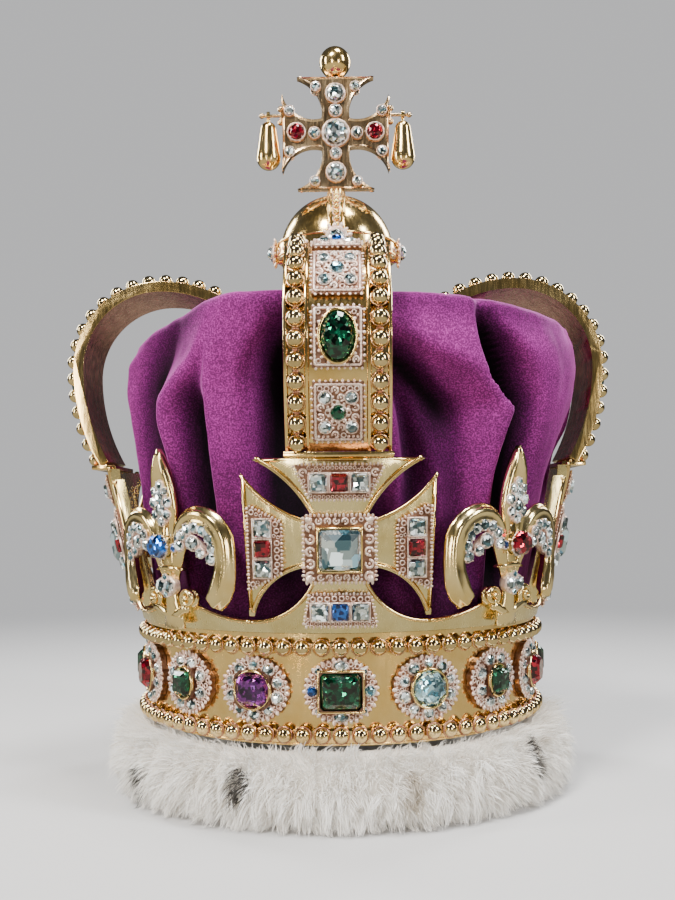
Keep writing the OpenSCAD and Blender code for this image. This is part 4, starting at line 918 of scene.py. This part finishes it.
# %% A piece from flat work
def set_piece(name, work, finishes, replaced=()):
    """Builds one piece from lists of flat work, each with the surface that it is bent onto."""
    points, faces, marks, soft = [], [], [], []
    start = 0
    for bend, items in work:
        for p, polys, finish, smooth in items:
            points.append(bend(p) * MM)
            faces += [tuple(start + i for i in f) for f in polys]
            marks += [finish] * len(polys)
            soft += [smooth] * len(polys)
            start += len(p)
    mesh = bpy.data.meshes.new(name)
    mesh.from_pydata(np.vstack(points).tolist(), [], faces)
    for finish in finishes:
        mesh.materials.append(finish)
    mesh.polygons.foreach_set("material_index", marks)
    mesh.polygons.foreach_set("use_smooth", soft)
    mesh.update()
    piece = add_object(name, mesh)
    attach(piece, "root")
    if replaced:
        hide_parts(*replaced)
    print(name, sum(len(f) - 2 for f in faces), "triangles")


# Finishes of ornament, by their places in a piece's list
LACE, GOLD, CLEAR, AQUA, RED, BLUE, GREEN, SHADE = range(8)
trim_looks = [lace_gold, gold, gems["stone_clear"], gems["stone_aqua"], gems["stone_red"], gems["stone_blue"],
              gems["stone_green"], shade_backing]
print("finishes of ornament", len(trim_looks))

# %% [markdown]
# Lace fills the room between the stones and the edge of a plate. Laying it out by hand would take hours for
# each shape of plate, so one rule fills them all: scrolls where the room is widest, rings in what is left,
# and beads in the last gaps. It tries places from the edge inwards and keeps those that are still free.

# %% Lace
spot_pitch = 0.3                      # mm between the places tried
plate_room, form_room = 1.08, 1.15    # room of a form to an edge or stone, and to other forms, as shares of its size
scroll_from, ring_from = 1.2, 0.7     # smallest sizes of a scroll and of a ring; a bead is smaller still


def free_room(spots, outline, stones):
    """How far each spot is from the edge of the plate and from its stones; less than 0 outside."""
    a = np.array(outline, float)
    b = np.roll(a, -1, axis=0)
    x, y = spots[:, :1], spots[:, 1:]
    step = b - a
    share = ((x - a[:, 0]) * step[:, 0] + (y - a[:, 1]) * step[:, 1]) / np.maximum((step ** 2).sum(axis=1), 1e-9)
    share = np.clip(share, 0, 1)
    room = np.hypot(x - a[:, 0] - share * step[:, 0], y - a[:, 1] - share * step[:, 1]).min(axis=1)
    rise = np.where(np.abs(step[:, 1]) < 1e-9, 1e-9, step[:, 1])
    crossed = ((a[:, 1] > y) != (b[:, 1] > y)) & (x < a[:, 0] + step[:, 0] * (y - a[:, 1]) / rise)
    room = np.where(crossed.sum(axis=1) % 2 == 1, room, -1.0)
    for sx, sy, sw, sh in stones:
        gap = np.hypot(np.maximum(np.abs(x[:, 0] - sx) - sw, 0), np.maximum(np.abs(y[:, 0] - sy) - sh, 0))
        room = np.minimum(room, gap)
    return room


def lace(outline, stones, out, sizes):
    """Scrolls, rings and beads all over a plate; each stone to keep clear of is (x, y, half width, half height)."""
    edge = np.array(outline, float)
    low, high = edge.min(axis=0), edge.max(axis=0)
    columns, rows = (np.arange(low[i], high[i], spot_pitch) for i in (0, 1))
    spots = np.stack(np.meshgrid(columns, rows), axis=-1).reshape(-1, 2)
    middle = (low + high) / 2
    order = np.argsort(-np.abs(spots - middle).max(axis=1), kind="stable")
    spots = spots[order]
    room = free_room(spots, outline, stones)
    taken, work = np.zeros((0, 3)), []
    for size in sizes:
        for (x, y), free in zip(spots, room):
            if free < size * plate_room:
                continue
            if (np.hypot(taken[:, 0] - x, taken[:, 1] - y) < taken[:, 2] + size * form_room).any():
                continue
            taken = np.vstack([taken, [x, y, size * form_room]])
            if size > scroll_from:
                facing = math.degrees(math.atan2(y - middle[1], x - middle[0]))
                work.append(stamp("scroll", x, y, out + 0.4, facing + 90 * len(work), size, LACE, 1.9))
                work.append(stamp("bead", x, y, out + 0.3, 0, size * 0.34))
            elif size > ring_from:
                work.append(stamp("ring", x, y, out + 0.3, 0, size * 0.85, LACE, 1.2))
            else:
                work.append(stamp("bead", x, y, out + 0.1, 0, size))
    return work


print("lace of a small plate", len(lace([(-5, -5), (5, -5), (5, 5), (-5, 5)], [], 0.0, (1.5, 1.0, 0.6))), "forms")

# %% [markdown]
# The edge of a plate is a row of leaves side by side, and some plates have a rope of small knots just
# inside it. Both are spaced evenly round any outline, as an engraver steps round with dividers.


# %% Edges
def along(outline, pitch):
    """Places evenly spaced round an outline, each with the turn that points a leaf out of it."""
    a = np.array(outline, float)
    b = np.roll(a, -1, axis=0)
    lengths = np.hypot(*(b - a).T)
    ends = np.r_[0, np.cumsum(lengths)]
    left = np.sign((a[:, 0] * b[:, 1] - b[:, 0] * a[:, 1]).sum())
    count = max(4, round(ends[-1] / pitch))
    for at in (np.arange(count) + 0.5) * ends[-1] / count:
        i = min(np.searchsorted(ends, at, "right") - 1, len(a) - 1)
        way = (b[i] - a[i]) / lengths[i]
        x, y = a[i] + way * (at - ends[i])
        yield x, y, math.degrees(math.atan2(-way[0] * left, way[1] * left)) - 90


def rope(outline, out, thick):
    """A rope of small knots round an outline."""
    places = [(x, y) for x, y, _ in along(outline, 0.75)]
    swell = np.where(np.arange(len(places)) % 2, 1.25, 0.8) * thick
    return [bar(places, swell, swell, out, closed=True, sides=6)]


def leaf_edge(outline, out, size, pitch):
    """Leaves side by side round an outline, every second one a little shorter."""
    return [stamp("leaf", x, y, out, spin, (size * (0.85, 0.7)[i % 2], size * (1, 0.75)[i % 2]))
            for i, (x, y, spin) in enumerate(along(outline, pitch))]


def box(w, h, x=0.0, y=0.0):
    """Corners of a rectangle of half sizes w and h."""
    return [(x - w, y - h), (x + w, y - h), (x + w, y + h), (x - w, y + h)]


def oval(w, h, steps=28, x=0.0, y=0.0, lobes=0, deep=0.0):
    """Points round an oval of half sizes w and h, with lobes if wanted."""
    turns = np.arange(steps) * 2 * math.pi / steps
    swell = 1 - deep * (1 + np.cos(lobes * turns)) / 2
    return list(zip(x + w * swell * np.cos(turns), y + h * swell * np.sin(turns)))


print("leaves round an oval", len(leaf_edge(oval(14.5, 12.7), 0.1, 2.0, 2.3)))


# %% Small stones
def small_stone(x, y, out, size, look, kind="round_stone"):
    """A small stone in a thin ring, or a square one in a frame, with four claws."""
    w, h = size if isinstance(size, tuple) else (size, size)
    work = [stamp(kind, x, y, out, 0, (w, h), look, (w + h) * 0.62)]
    if kind == "round_stone":
        reach = 0.74
        work.append(stamp("thin_ring", x, y, out + 0.1, 0, (w * 1.12, h * 1.12), LACE, 4.2))
    else:
        reach = 0.98
        work.append(bar(box(w + 0.45, h + 0.45, x, y), 0.42, 0.6, out + 0.3, closed=True, sides=6))
    return work + [stamp("bead", x + sx * w * reach, y + sy * h * reach, out + 0.35 * w, 0, 0.42)
                   for sx, sy in ((1, 1), (-1, 1), (-1, -1), (1, -1))]


print("a small stone has", sum(len(faces) for _, faces, _, _ in small_stone(0, 0, 0, 2, CLEAR)), "faces")

# %% [markdown]
# ## Stone clusters of the band
# Each of the sixteen clusters is a leafy plate round one large stone, which is a plain solid with its own
# finish. Small stones surround it, lace fills the gaps, and a row of leaves makes the edge. One cluster
# copied sixteen times would be quicker, but the stones differ in size and shape, so a function lays out
# each from the size of its stone.

# %% Band clusters
cluster_reach, cluster_z = 97.6, 57.5
# Main stones in turn: (width, height)
main_stones = [(17.5, 15.5), (15, 15), (10, 12.5), (13, 15), (17.5, 15.5), (15, 14.5), (10, 12.5), (15, 15),
               (15, 13.5), (15, 14.5), (10, 12.5), (15, 15), (17.5, 15.5), (13, 15), (10, 12.5), (15, 14.5)]


def cluster(w, h, left, right):
    """Flat work of one cluster round a main stone of width w and height h, with the looks of the stones beside it."""
    edge = oval(15.6, 13.8, 56, lobes=14, deep=0.05)
    work = leaf_edge(oval(14.5, 12.7), 0.1, 2.0, 2.3)
    blocks = [(0, 0, w / 2 + 1.3, h / 2 + 1.3)]
    collet = box if w * h > 226 and w != h else oval
    work.append(bar(collet(w / 2 + 0.9, h / 2 + 0.9), 0.7, 1.1, 2.2, GOLD, closed=True, sides=6))
    gap_x, gap_y = (w / 2 + 15.2) / 2 + 0.4, (h / 2 + 13.4) / 2 + 0.35
    if w > 17:
        spots = [(0, gap_y, 3.1, 2.0, CLEAR), (0, -gap_y, 3.1, 2.0, CLEAR), (-gap_x, 0, 2.3, 2.3, left),
                 (gap_x, 0, 2.3, 2.3, right)]
        spots += [(sx * 9.6, sy * 8.4, 1.5, 1.5, CLEAR) for sx in (-1, 1) for sy in (-1, 1)]
    else:
        count = 10 if w > 12 else 8
        spots = []
        for i in range(count):
            a = 2 * math.pi * (i + 0.5) / count
            size = 2.45 if i % 2 or w < 12 else 2.1
            spots.append((gap_x * math.cos(a) * 0.99, gap_y * math.sin(a) * 0.99, size, size, CLEAR))
    for x, y, sw, sh, look in spots:
        work += small_stone(x, y, 0.5, (sw, sh), look)
        blocks.append((x, y, sw * 0.9, sh * 0.9))
    return work + lace(edge, blocks, 0.2, (1.15, 0.8, 0.5))


band_work = []
for k, (w, h) in enumerate(main_stones):
    beside = (BLUE, AQUA) if k == 0 else (CLEAR, CLEAR)    # only the front cluster has coloured ones there
    band_work.append((round_wall(22.5 * k, cluster_reach, cluster_z), cluster(w, h, *beside)))
set_piece("band_lace", band_work, trim_looks)

# %% [markdown]
# The beads of the two rows are plain solids. On the real crown each sits in a thin collet of redder gold,
# which draws a dark line round it. One thin ring is enough for that, set once for each bead.

# %% Collets of the band's beads
bead_total, bead_reach = 76, 98.8
collet = [stamp("thin_ring", 0, 0, 0.3, 0, 3.5, 0, 5.0)]
for row, height, look in (("upper", 76.0, rose_gold), ("lower", 39.0, red_gold_and_shade)):
    set_piece(f"bead_collets_{row}",
              [(round_wall(360 / bead_total * i, bead_reach, height), collet) for i in range(bead_total)], [look])

# %% [markdown]
# ## Crosses
# A cross is a flat plate with a raised rim along every edge. It could be drawn again from its circles, but
# the plain solid has that shape already. So its faces are joined in a copy, and a bevel rounds the sharp
# edges, which is what makes metal look worn and real.


# %% Copies with rounded edges
def dressed_copy(node, name, looks):
    """A copy of a plain solid with its faces joined, for edges that can be worked."""
    mesh = nodes[node].data.copy()
    mesh.transform(nodes[node].matrix_world)
    piece = add_object(name, mesh)
    mesh.materials.clear()
    for look in looks:
        mesh.materials.append(look)
    mesh.polygons.foreach_set("material_index", [0] * len(mesh.polygons))
    edit_all(piece)
    bpy.ops.mesh.remove_doubles(threshold=0.00002)
    bpy.ops.mesh.normals_make_consistent(inside=False)
    bpy.ops.mesh.dissolve_limited(angle_limit=math.radians(0.4))
    bpy.ops.object.mode_set(mode="OBJECT")
    return piece


def finish_copy(piece, replaced, width):
    """Rounds the sharp edges of a copy, shades it and hands it over; the width is in millimetres."""
    sharp = math.radians(28)
    apply_modifier(piece, "BEVEL", width=width * MM, segments=2, limit_method="ANGLE", angle_limit=sharp)
    pick(piece)
    bpy.ops.object.shade_smooth_by_angle(angle=sharp)
    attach(piece, "root")
    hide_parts(replaced)
    print(piece.name, len(piece.data.polygons), "faces")


for k in range(4):
    cross = dressed_copy(f"cross_{k + 1}", f"cross_plate_{k + 1}", [cross_gold])
    finish_copy(cross, f"cross_{k + 1}", 0.35)

# %% [markdown]
# Five plates sit on a cross: one in each arm with three square stones, and the middle one round the large
# stone. The rims are bars along the cross's edges. Each follows the circle that cut its edge, a little
# inside it, so the two run side by side up to the points.

# %% Rims of the crosses
cross_reach, cross_z, cross_lean, cross_mid = 102.3, 82.3, 12.4, 35.77


def circle_part(x, y, r, start, end):
    """Places along part of a circle, its turns given in degrees."""
    return [(x + r * math.cos(a), y + r * math.sin(a)) for a in np.radians(np.linspace(start, end, 24))]


# Both edges of the upper cut, which is a lens of two arcs that starts at the middle plate and rises
cut_r, cut_half, cut_bulge, cut_turn, rim_in = 50.84, 23, 5.5, math.radians(40), 0.9
cut_x, cut_y = 10.4, cross_mid + 11
rims = []
for bulge, ends in ((1, (1, 35.5)), (-1, (2, 36))):
    u = np.linspace(*ends, 20)
    v = bulge * (np.sqrt(cut_r ** 2 - (u - cut_half) ** 2) - cut_r + cut_bulge + rim_in)
    rims.append(np.c_[cut_x + u * math.cos(cut_turn) - v * math.sin(cut_turn),
                      cut_y + u * math.sin(cut_turn) + v * math.cos(cut_turn)])
# Both edges of the lower cut, then the gallery beside the cross, its side edge and its top edge
arm_x, gallery_y, gallery_r = 37.5, 61.4, 57.3
rims += [circle_part(10.5, 1.8, 27.4, 87, 14), circle_part(arm_x, 33, 28.9, 191, 272)]
rims.append([(arm_x + x, gallery_y - math.sqrt(gallery_r ** 2 - x * x)) for x in np.linspace(1, 26, 14)])
rims += [[(40.1, 65.5), (38.1, 9.5)], [(0, 72.1), (34.2, 72.1)]]
print("rims of one half", len(rims))

# %% Settings of the crosses
stone_half, step, side_x = 3.5, 8.5, 32.25


def cross_plate(outline, stones):
    """A plate with a leafy edge, lace and its own square stones: (x, y, look)."""
    # The dark plate under the lace paints the shade seen through its holes
    work = leaf_edge(outline, -0.2, 1.25, 1.55) + [plate(outline, -3.6, -2.0, SHADE)]
    blocks = []
    for x, y, look in stones:
        work += small_stone(x, y, 0.5, stone_half, look, "square_stone")
        blocks.append((x, y, stone_half + 0.6, stone_half + 0.6))
    return work + lace(outline, blocks, 0.1, (1.75, 1.2, 0.75))


upper_y, lower_y = 63.2, 9.5
plates = cross_plate([(-12, 56.5), (12, 56.5), (18, 70), (-18, 70)],
                     [(-step, upper_y, CLEAR), (0, upper_y, RED), (step, upper_y, CLEAR)])
plates += cross_plate([(-15, 3.5), (15, 3.5), (12.5, 16.5), (-12.5, 16.5)],
                      [(-step, lower_y, CLEAR), (0, lower_y, BLUE), (step, lower_y, CLEAR)])
for m in (-1, 1):
    side = [(24.5, -9.5), (38, -17), (38, 18), (24.5, 11)]
    corners = [(m * x, cross_mid + y) for x, y in side][::m]
    plates += cross_plate(corners, [(m * side_x, cross_mid + 0.5 + i * step, RED if i == 0 else CLEAR)
                                    for i in (-1, 0, 1)])
middle = box(14.5, 13.5, 0, cross_mid)
plates += leaf_edge(middle, -0.2, 1.4, 1.7) + [plate(middle, -3.6, -2.0, SHADE)]
plates += lace(middle, [(0, cross_mid, 9.6, 9.6)], 0.1, (2.1, 1.5, 1.0, 0.7))
plates.append(bar(box(9.1, 9.1, 0, cross_mid), 0.75, 1.5, 1.0, GOLD, closed=True, sides=6))
plates += [stamp("bead", sx * 8.6, cross_mid + sy * 8.6, 2.2, 0, 1.0, GOLD) for sx in (-1, 1) for sy in (-1, 1)]
plates += [bar(np.array(path) * (m, 1), 0.9, 1.2, -2.3, GOLD) for path in rims for m in (-1, 1)]
plates += [stamp("leaf", sx * 12, cross_mid + sy * 11.4, 0.5, 45 * -sx * sy + (0 if sy > 0 else 180), 2.6, LACE)
           for sx in (-1, 1) for sy in (-1, 1)]
set_piece("cross_lace", [(round_wall(90 * k, cross_reach, cross_z, cross_lean), plates) for k in range(4)],
          trim_looks, ["cross_side_stones"])

# %% [markdown]
# ## Lilies
# A lily is one folded leaf between two petals that rise, curl over and end in a rounded drop, and a band
# ties them at the waist. Such a form can be sculpted, but it is quicker as bars that follow a drawn line
# and swell and thin along it. Soft flutes along the petals catch the light as chased gold does.

# %% Lily forms
lily_reach, lily_lean, cup_y = 102.15, 4.0, 36.9
petal_x, petal_up, petal_r = 21.5, 36.4, 13.25
CUP = 1    # the second finish of a lily


def leaf_ring(y, half, rise):
    """A cross section of the middle leaf: a groove between two rounded edges."""
    across = np.array([-1, -0.92, -0.72, -0.45, -0.2, -0.06, 0.06, 0.2, 0.45, 0.72, 0.92, 1, 0.6, -0.6])
    level = np.array([1.4, 3.8, 5.0, 4.0, 2.6, 2.3, 2.3, 2.6, 4.0, 5.0, 3.8, 1.4, -1.2, -1.2])
    return [(u * half, y, rise + v * (0.35 + 0.65 * min(1, half / 5))) for u, v in zip(across, level)]


leaf_rows = []
for t in np.linspace(0, 1, 15):
    half = 0.3 + 8.0 * math.sin(math.pi * t ** 0.85) ** 0.75
    leaf_rows.append(leaf_ring(34 + 46 * t, half, 0.4 + 3.2 * t ** 3))
turns = np.radians(np.arange(180, -1, -15))
petal_way = [(2.6, 21), (4.2, 26), (6.2, 31)]
petal_way += [(petal_x + petal_r * math.cos(a), petal_up + petal_r * math.sin(a)) for a in turns]
petal_way += [(34.9, 31), (34.4, 26), (33.2, 21), (31.4, 16.6), (29, 13.6), (26.6, 12.6)]
share = np.linspace(0, 1, len(petal_way))
petal_wide = np.interp(share, [0, 0.15, 0.4, 0.62, 0.78, 0.88, 0.96, 1], [2.0, 3.4, 4.8, 4.6, 4.2, 5.4, 4.4, 1.0])
petal_out = np.interp(share, [0, 0.3, 0.6, 1], [2.2, 3.4, 4.4, 5.4])
print("leaf rings", len(leaf_rows), "petal points", len(petal_way))


# %% Lilies
def lily_half(m):
    """The petal and scroll on one side of a lily; m is 1 on the right and -1 on the left."""
    way = np.c_[np.array(petal_way) * (m, 1), petal_out]
    work = [bar(way, petal_wide, petal_wide * 0.72, sides=24, flutes=0.12)]
    spiral = np.radians(np.arange(-60, 560, 24))
    grow = np.linspace(1, 0.12, len(spiral))
    scroll = np.c_[m * (12 - 4.3 * grow * np.cos(spiral)), 14 + 4.3 * grow * np.sin(spiral), 2.6 + 3.4 * (1 - grow)]
    work += [bar(scroll, 0.5 + grow, 0.6 + 1.5 * grow), stamp("ball", m * 12, 14, 1.4, 0, 4.4, 0, 2.6)]
    work.append(bar([(0, 6, 2), (m * 5, 7.5, 2.4), (m * 9, 9.5, 2.8), (m * 12, 10, 3)], 2.2, 2.4))
    return work


lily_form = [loft(leaf_rows)]
lily_form.append(bar([(0, 0.6), (0, 6), (0, 12), (0, 24), (0, 36), (0, 44), (0, 50)],
                     [7.5, 6.5, 4.6, 4.0, 4.6, 3.6, 1.0], [2.3, 2.5, 2.6, 2.6, 2.6, 2.0, 0.6], 2.0, sides=12))
lily_form.append(bar([(-8.5, 26.5), (-5, 27.3), (0, 27.6), (5, 27.3), (8.5, 26.5)], [0.5, 1.5, 1.8, 1.5, 0.5],
                     [2.2, 3.0, 3.3, 3.0, 2.2], 2.2))
lily_form += lily_half(1) + lily_half(-1)
lily_form += [stamp("cup", 0, cup_y, 3.0, 0, 4.3, CUP, 4.0), stamp("thin_ring", 0, cup_y, 7.2, 0, 5.0, CUP)]
for k in range(4):
    set_piece(f"lily_leaves_{k + 1}", [(round_wall(45 + 90 * k, lily_reach, cross_z, lily_lean), lily_form)],
              [pale_gold, silver], [f"lily_{k + 1}"])

# %% [markdown]
# Stones cover most of the leaf and of each petal, edge to edge, on raised plates that follow the curl as
# a hook. They are set one by one where they show in the front view, largest along the middle, because an
# even pattern would look machine made.

# %% Stones on the lilies
hook_r = 9.3
leaf_stones = [(0, 64.0, 2.1), (0, 59.2, 2.8), (0, 53.5, 2.9), (0, 48.2, 2.1)]
leaf_stones += [(m * x, y, s) for m in (-1, 1) for x, y, s in ((3.9, 61.4, 2.0), (4.9, 56.5, 2.3), (4.2, 51, 2.1))]
petal_stones = [(petal_x + hook_r * math.cos(a), petal_up + hook_r * math.sin(a), 2.4)
                for a in np.radians([172, 143, 114, 86, 58, 30, 2, -27])]
petal_stones += [(20.2, 38.8, 3.0), (24.2, 34.6, 2.1)]
pave = [plate(oval(6.8, 10.0, 40, 0, 56, 10, 0.05), 1.5, 5.2, LACE),
        plate(oval(6.6, 4.8, 32, 0, 19.4, 8, 0.05), 2.5, 5.6, LACE)]
for x, y, s in leaf_stones:
    pave += small_stone(x, y, 5.2, s, CLEAR)
for m in (-1, 1):
    hook = np.array(circle_part(petal_x, petal_up, hook_r, 176, -32)) * (m, 1)
    inner = [(m * 17, 39.5), (m * 20.2, 38.8), (m * 24.6, 34.4)]
    pave += [bar(hook, 2.7, 2.0, 4.6), bar(inner, 2.9, 1.8, 4.6)]
    for x, y, s in petal_stones:
        pave += small_stone(m * x, y, 6.3, s, CLEAR)
    pave += small_stone(m * 8.6, 36.6, 6.2, 1.7, BLUE) + small_stone(m * 3, 19.6, 5.6, 2.8, CLEAR)
pave += small_stone(0, 23.4, 5.4, 1.4, AQUA) + small_stone(0, 15.9, 5.4, 1.4, AQUA)
pave += [stamp("bead", 5.3 * math.cos(a), cup_y + 5.3 * math.sin(a), 7.6, 0, 0.7)
         for a in np.radians(np.arange(0, 360, 30))]
set_piece("lily_stones", [(round_wall(45 + 90 * k, lily_reach, cross_z, lily_lean), pave) for k in range(4)],
          trim_looks, ["lily_clusters"])

# %% [markdown]
# ## Arches
# The arch is a broad strip, and its inner side gets a darker, redder gold as painted shade. The strip is
# again a copy of its plain solid. Two finishes on one mesh need no second object: each face takes one by the way it
# points.

# %% Arch strips
arch_heart = (78, 190)    # reach and height of a place under the bend; faces that point to it are inside
for k in range(4):
    arch = dressed_copy(f"arch_{k + 1}", f"arch_plate_{k + 1}", [gold, red_gold_and_shade])
    turn = math.radians(90 * k)
    ahead = Vector((math.sin(turn), -math.cos(turn), 0))
    for face in arch.data.polygons:
        spot = face.center / MM
        outwards = Vector((spot.dot(ahead) - arch_heart[0], spot.z - arch_heart[1])).normalized()
        # Faces that point inwards get the darker, redder gold as painted shade
        if Vector((face.normal.dot(ahead), face.normal.z)).dot(outwards) < -0.6:
            face.material_index = 1
    finish_copy(arch, f"arch_{k + 1}", 0.3)

# %% [markdown]
# Every bead of an arch sits in a ring, with a small saddle between it and the next. Five leafy plates
# follow the middle of the arch: one holds an oval stone, and the others hold five round ones each. All of
# it is laid out flat once and bent onto the four arches.

# %% Arch trims
RING, SADDLE = 8, 9    # two more finishes after those of all ornament
bead_x, first_bead, bead_pitch, bead_count = 16.6, 4.6, 8.4, 22
first_plate, plate_pitch, half_w, half_l = 17.5, 30.0, 10.2, 12.25
arch_trim = []
for m in (-1, 1):
    for i in range(bead_count):
        s = first_bead + i * bead_pitch
        arch_trim.append(stamp("thin_ring", m * bead_x, s, -0.7, 0, 3.55, RING, 4.5))
        arch_trim.append(stamp("bead", m * bead_x, s + bead_pitch / 2, -1.9, 0, (1.7, 0.7), SADDLE, 1.2))
print("rings and saddles", len(arch_trim))

# %% Arch settings
# Five stones of a plate: (across, along, half size), and the looks of the middle and outer ones
five = [(0, 0, 3.0), (-5.2, 6.0, 2.4), (5.2, 6.0, 2.4), (-5.2, -6.0, 2.4), (5.2, -6.0, 2.4)]
plate_looks = [(GREEN, CLEAR), None, (AQUA, CLEAR), (BLUE, CLEAR), (RED, CLEAR)]
for i, looks in enumerate(plate_looks):
    s = first_plate + i * plate_pitch
    edge = box(half_w - 0.4, half_l - 0.4, 0, s)
    arch_trim += rope(box(half_w - 1.1, half_l - 1.1, 0, s), 0.0, 0.5) + leaf_edge(edge, -0.7, 1.35, 2.3)
    if looks is None:
        arch_trim.append(bar(oval(7.4, 10.4, 36, 0, s), 0.8, 1.6, 0.2, GOLD, closed=True, sides=6))
        arch_trim += leaf_edge(oval(7.2, 10.2, 28, 0, s), -0.2, 1.9, 2.6)
        arch_trim += lace(box(half_w - 1.4, half_l - 1.4, 0, s), [(0, s, 5.4, 10.4), (0, s, 7.6, 7.4)], -0.2,
                          (1.5, 1.0, 0.65))
        continue
    blocks = []
    for j, (x, y, size) in enumerate(five):
        arch_trim += small_stone(x, s + y, 0.0, size, looks[j > 0])
        blocks.append((x, s + y, size * 0.9, size * 0.9))
    arch_trim += leaf_edge(oval(3.4, 3.4, 20, 0, s), -0.1, 1.7, 2.2)
    arch_trim += lace(box(half_w - 1.4, half_l - 1.4, 0, s), blocks, -0.2, (1.6, 1.15, 0.7))
for k in range(4):
    set_piece(f"arch_lace_{k + 1}", [(on_arch(k), arch_trim)], trim_looks + [rose_gold, red_gold_and_shade])

# %% [markdown]
# ## Orb and top cross
# A belt round the orb and a bow over it divide its ball. The belt is two wires with leaves between them, and
# the bow is two wires with beads. Both are straight strips, so they are laid out flat and wrapped round the
# ball. A stone in a ring of leaves sits on the belt at each quarter.

# %% Orb
orb_r, orb_z = 28.9, 267.0


def on_bow(p):
    """The bow over the orb: along is the length from the level of the belt, up over the front."""
    r = orb_r + 1.3 + p[:, 2]
    turn = p[:, 1] / (orb_r + 1.3)
    return np.stack([p[:, 0], -r * np.cos(turn), orb_z + r * np.sin(turn)], axis=1)


def on_belt(p):
    """The belt round the orb: across is the length from the front."""
    r = orb_r + 1.6 + p[:, 2]
    turn = p[:, 0] / (orb_r + 1.6)
    return np.stack([r * np.sin(turn), -r * np.cos(turn), orb_z + p[:, 1]], axis=1)


bow_len, belt_len = math.pi * (orb_r + 1.3), 2 * math.pi * (orb_r + 1.6)
bow_pitch, belt_leaves = 3.7, 44
bow_work, belt_work = [], []
for s in np.arange(6.5, bow_len - 6, bow_pitch):
    if abs(s - bow_len / 2) > 5:    # the foot of the top cross stands in the middle of the bow
        bow_work += [stamp("ball", 0, s, 0.5, 0, 1.65, GOLD), stamp("thin_ring", 0, s, 0.2, 0, 1.85)]
for m in (-1, 1):
    bow_work.append(bar([(m * 3.6, s) for s in np.linspace(0, bow_len, 60)], 0.7, 0.9, 0.1, GOLD, sides=6))
    belt_work.append(bar([(s, m * 3.3) for s in np.linspace(0, belt_len, 121)[:-1]], 0.6, 0.8, 0.1, GOLD, sides=6))
for quarter in (np.arange(belt_leaves) + 0.5) * 4 / belt_leaves:
    if abs((quarter + 0.5) % 1 - 0.5) > 0.13:    # clear of the four bosses
        belt_work.append(stamp("leaf", quarter * belt_len / 4, -1.4, 0.1, 0, 1.6))
boss = leaf_edge(oval(5.6, 5.6, 24), -0.9, 2.3, 2.6) + rope(oval(5.0, 5.0, 24), 0.0, 0.5)
boss += small_stone(0, 0, 0.1, 3.9, CLEAR)
work = [(on_bow, bow_work), (on_belt, belt_work)]
work += [(flat_face(90 * k, orb_r + 3.4, orb_z), boss) for k in range(4)]
set_piece("orb_trims", work, trim_looks)

# %% [markdown]
# The top cross is a flat plate too, with stones and a raised border on both faces. Its faces are simple
# enough for an inset, which leaves the border standing when the middle is pushed in.

# %% Top cross
top_mid, top_half, top_h, top_t = 328.45, 27.3, 57.5, 5.6
border, sunk = 1.1, 0.6
top = dressed_copy("top_cross", "top_cross_plate", [old_gold])
choose_faces(top, lambda face: abs(face.normal.y) > 0.95 and face.area > 0.0001)
bpy.ops.mesh.inset(thickness=border * MM, depth=-sunk * MM)
bpy.ops.object.mode_set(mode="OBJECT")
finish_copy(top, "top_cross", 0.35)

# %% Stones of the top cross
# Stones of each face: (share of the half width, share of the half height, half size, look)
top_stones = [(0, 0, 6, CLEAR), (0, 0.71, 4.3, CLEAR), (0, 0.40, 2.8, CLEAR), (0, -0.36, 2.5, CLEAR),
              (0, -0.70, 4.3, CLEAR)]
for m in (-1, 1):
    top_stones += [(0.74 * m, 0.02, 4, RED), (0.40 * m, 0, 2.6, CLEAR), (0.87 * m, 0.40, 2.3, CLEAR),
                   (0.87 * m, -0.33, 2.3, CLEAR), (0.37 * m, 0.83, 2.2, CLEAR), (0.40 * m, -0.86, 2.2, CLEAR)]
top_work = []
for u, v, size, look in top_stones:
    x, y = u * top_half, v * top_h / 2
    top_work += small_stone(x, y, 0.2, size, look)
    if size > 3.5:
        top_work += leaf_edge(oval(size * 1.02, size * 1.02, 20, x, y), -0.3, 1.1, 1.9)
set_piece("top_stones", [(flat_face(180 * side, top_t / 2, top_mid), top_work) for side in (0, 1)],
          trim_looks, ["top_cross_stones"])
